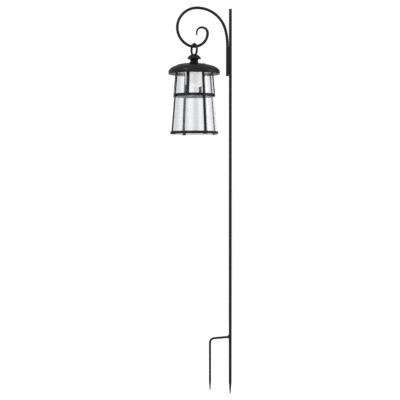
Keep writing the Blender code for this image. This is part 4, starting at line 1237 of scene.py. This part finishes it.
def build_cover(plastic):
    """The battery door: a rounded flange with a tab, a plug above it and grip ribs below."""
    low, high = DOOR_Z
    half_x, half_y = DOOR_FLANGE
    tab_x, tab_y = DOOR_TAB
    outline = [(-half_x, -half_y), (half_x, -half_y), (half_x, -tab_y), (tab_x, -tab_y)]
    outline += [(x, -y) for x, y in reversed(outline)]
    outline = [(x, y + BATTERY_Y) for x, y in outline]
    cover = prism("battery_cover_door", outline, low, high, plastic, FINE_EDGE)
    plug = rectangle(DOOR_OPENING[0] - GAP, DOOR_OPENING[1] - GAP, centre_y=BATTERY_Y)
    added = [prism("cover_plug", plug, (low + high) / 2, DOOR_PLUG_TOP, plastic)]
    for i in range(DOOR_RIB_COUNT):
        rib = rectangle(*DOOR_RIB_HALF, -half_x + DOOR_RIB_INSET + DOOR_RIB_PITCH * i, BATTERY_Y)
        added.append(prism("cover_rib", rib, low - 0.0004, low + RIB_ROOT, plastic, 0.00015))
    carve(cover, *added, operation="UNION")
    spot = (DOOR_SCREW_X, BATTERY_Y)
    carve(cover, drill("cover_bore", spot, DOOR_SCREW_RADIUS + GAP, DOOR_Z, plastic))
    cover.matrix_world = LANTERN
    fit(cover, "lantern", "pale_plastic", "battery_cover")


def build_slider(plastic):
    """The switch's grip with three finger ribs, on a stem that goes up through the plate."""
    low, grip, high = SLIDER_Z
    rest = -SWITCH_TRAVEL / 2
    block = rectangle(SLIDER_GRIP_HALF, SLIDER_HALF_DEPTH, rest, SWITCH_Y)
    slider = prism("switch_slider_grip", block, low, grip, plastic, 0.0002)
    stem = rectangle(SLIDER_STEM_HALF, SLIDER_HALF_DEPTH, rest, SWITCH_Y)
    added = [prism("slider_stem", stem, grip - 0.0005, high, plastic)]
    for i in (-1, 0, 1):
        rib = rectangle(SLIDER_RIB_HALF, SLIDER_HALF_DEPTH * 0.8, rest + SLIDER_RIB_PITCH * i, SWITCH_Y)
        added.append(prism("slider_rib", rib, low - RIB_ROOT, low + RIB_ROOT, plastic, 0.00008))
    carve(slider, *added, operation="UNION")
    slider.matrix_world = LANTERN
    fit(slider, "power_switch", "black_plastic", "switch_slider")


def repaint(material, *names):
    """Gives CAD nodes that stay a better material."""
    for name in names:
        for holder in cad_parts[name].material_slots:
            holder.material = material


# Stage


def build_stage():
    lowest = cad_box[0][2]
    floor_material = Finish("studio_floor")
    floor_material.colour((0.93, 0.93, 0.93), (0.95, 0.95, 0.95), 3)
    floor_material.roughness(0.75, 0.9, 5)
    bm = bmesh.new()
    bmesh.ops.create_circle(bm, cap_ends=True, segments=96, radius=FLOOR_RADIUS)
    place = Matrix.Translation((0, 0, lowest - FLOOR_DROP))
    floor = piece("studio_floor", bm, floor_material.material, place)

    world = bpy.data.worlds.new("studio")
    world.use_nodes = True
    sky = world.node_tree.nodes["Background"]
    sky.inputs["Color"].default_value = (1.0, 1.0, 1.0, 1.0)
    sky.inputs["Strength"].default_value = SKY_STRENGTH
    bpy.context.scene.world = world
    bpy.context.scene.view_settings.view_transform = "Standard"


def softbox(name, place, target, size, energy):
    lamp = bpy.data.lights.new(name, "AREA")
    lamp.shape = "RECTANGLE"
    lamp.size, lamp.size_y = size
    lamp.energy = energy
    item = bpy.data.objects.new(name, lamp)
    item.location = place
    item.rotation_euler = (Vector(target) - Vector(place)).to_track_quat("-Z", "Y").to_euler()
    bpy.context.scene.collection.objects.link(item)


def build_lights():
    target = (HANG_X, 0, LAMPS_AIM_Z)
    softbox("key", (-1.4, -1.6, 2.2), target, (0.9, 0.9), 24)
    softbox("fill", (2.3, -0.5, 1.3), target, (0.5, 1.4), 7)


def build_camera():
    camera = bpy.data.objects.new("camera", bpy.data.cameras.new("camera"))
    camera.data.lens = CAMERA_LENS
    place = Vector((CAMERA_X, -CAMERA_DISTANCE, CAMERA_Z))
    target = Vector((CAMERA_X, 0, CAMERA_TARGET_Z))
    camera.location = place
    camera.rotation_euler = (target - place).to_track_quat("-Z", "Y").to_euler()
    bpy.context.scene.collection.objects.link(camera)
    bpy.context.scene.camera = camera


def main():
    build_camera()
    build_stage()
    build_lights()
    paint = black_paint()
    build_pole(paint)
    build_crook(paint)
    build_hook_welds(paint)
    build_prong(paint)
    build_prong_weld(paint)
    build_ring(paint)
    build_finial(paint)
    build_roof(paint, grey_primer("roof_lining_primer", 0.44, 0.52))
    build_cells(solar_face())
    build_bezels(paint)
    build_collar(paint)
    primer = grey_primer("hoop_lining_primer", 0.22, 0.28)
    hoop("middle_band_hoop", BAND_Z, paint, primer, "middle_band")
    hoop("bottom_ring_hoop", BOTTOM_RING_Z, paint, primer, "bottom_ring")
    build_straps(paint)
    build_glass(clear_glass())
    build_seals(seal())
    moulding = black_plastic()
    plastic = pale_plastic()
    zinc = zinc_steel()
    build_housing(moulding)
    build_plate(plastic)
    build_screws(zinc)
    build_diffuser(frosted_cream())
    build_cover(plastic)
    build_slider(moulding)
    repaint(zinc, "pole_stud_upper", "pole_stud_lower", "finial_stud", "finial_washer", "finial_nut")
    repaint(zinc, "battery_contact", "battery_spring", "switch_body")
    repaint(moulding, "battery_cradle")
    repaint(battery_wrap(), "battery")
    repaint(green_board(), "circuit_board")
    repaint(lamp_lens(), "led_lamp")
    repaint(lead_jacket(), *[f"solar_lead_{i + 1}" for i in range(CELL_COUNT)])


main()
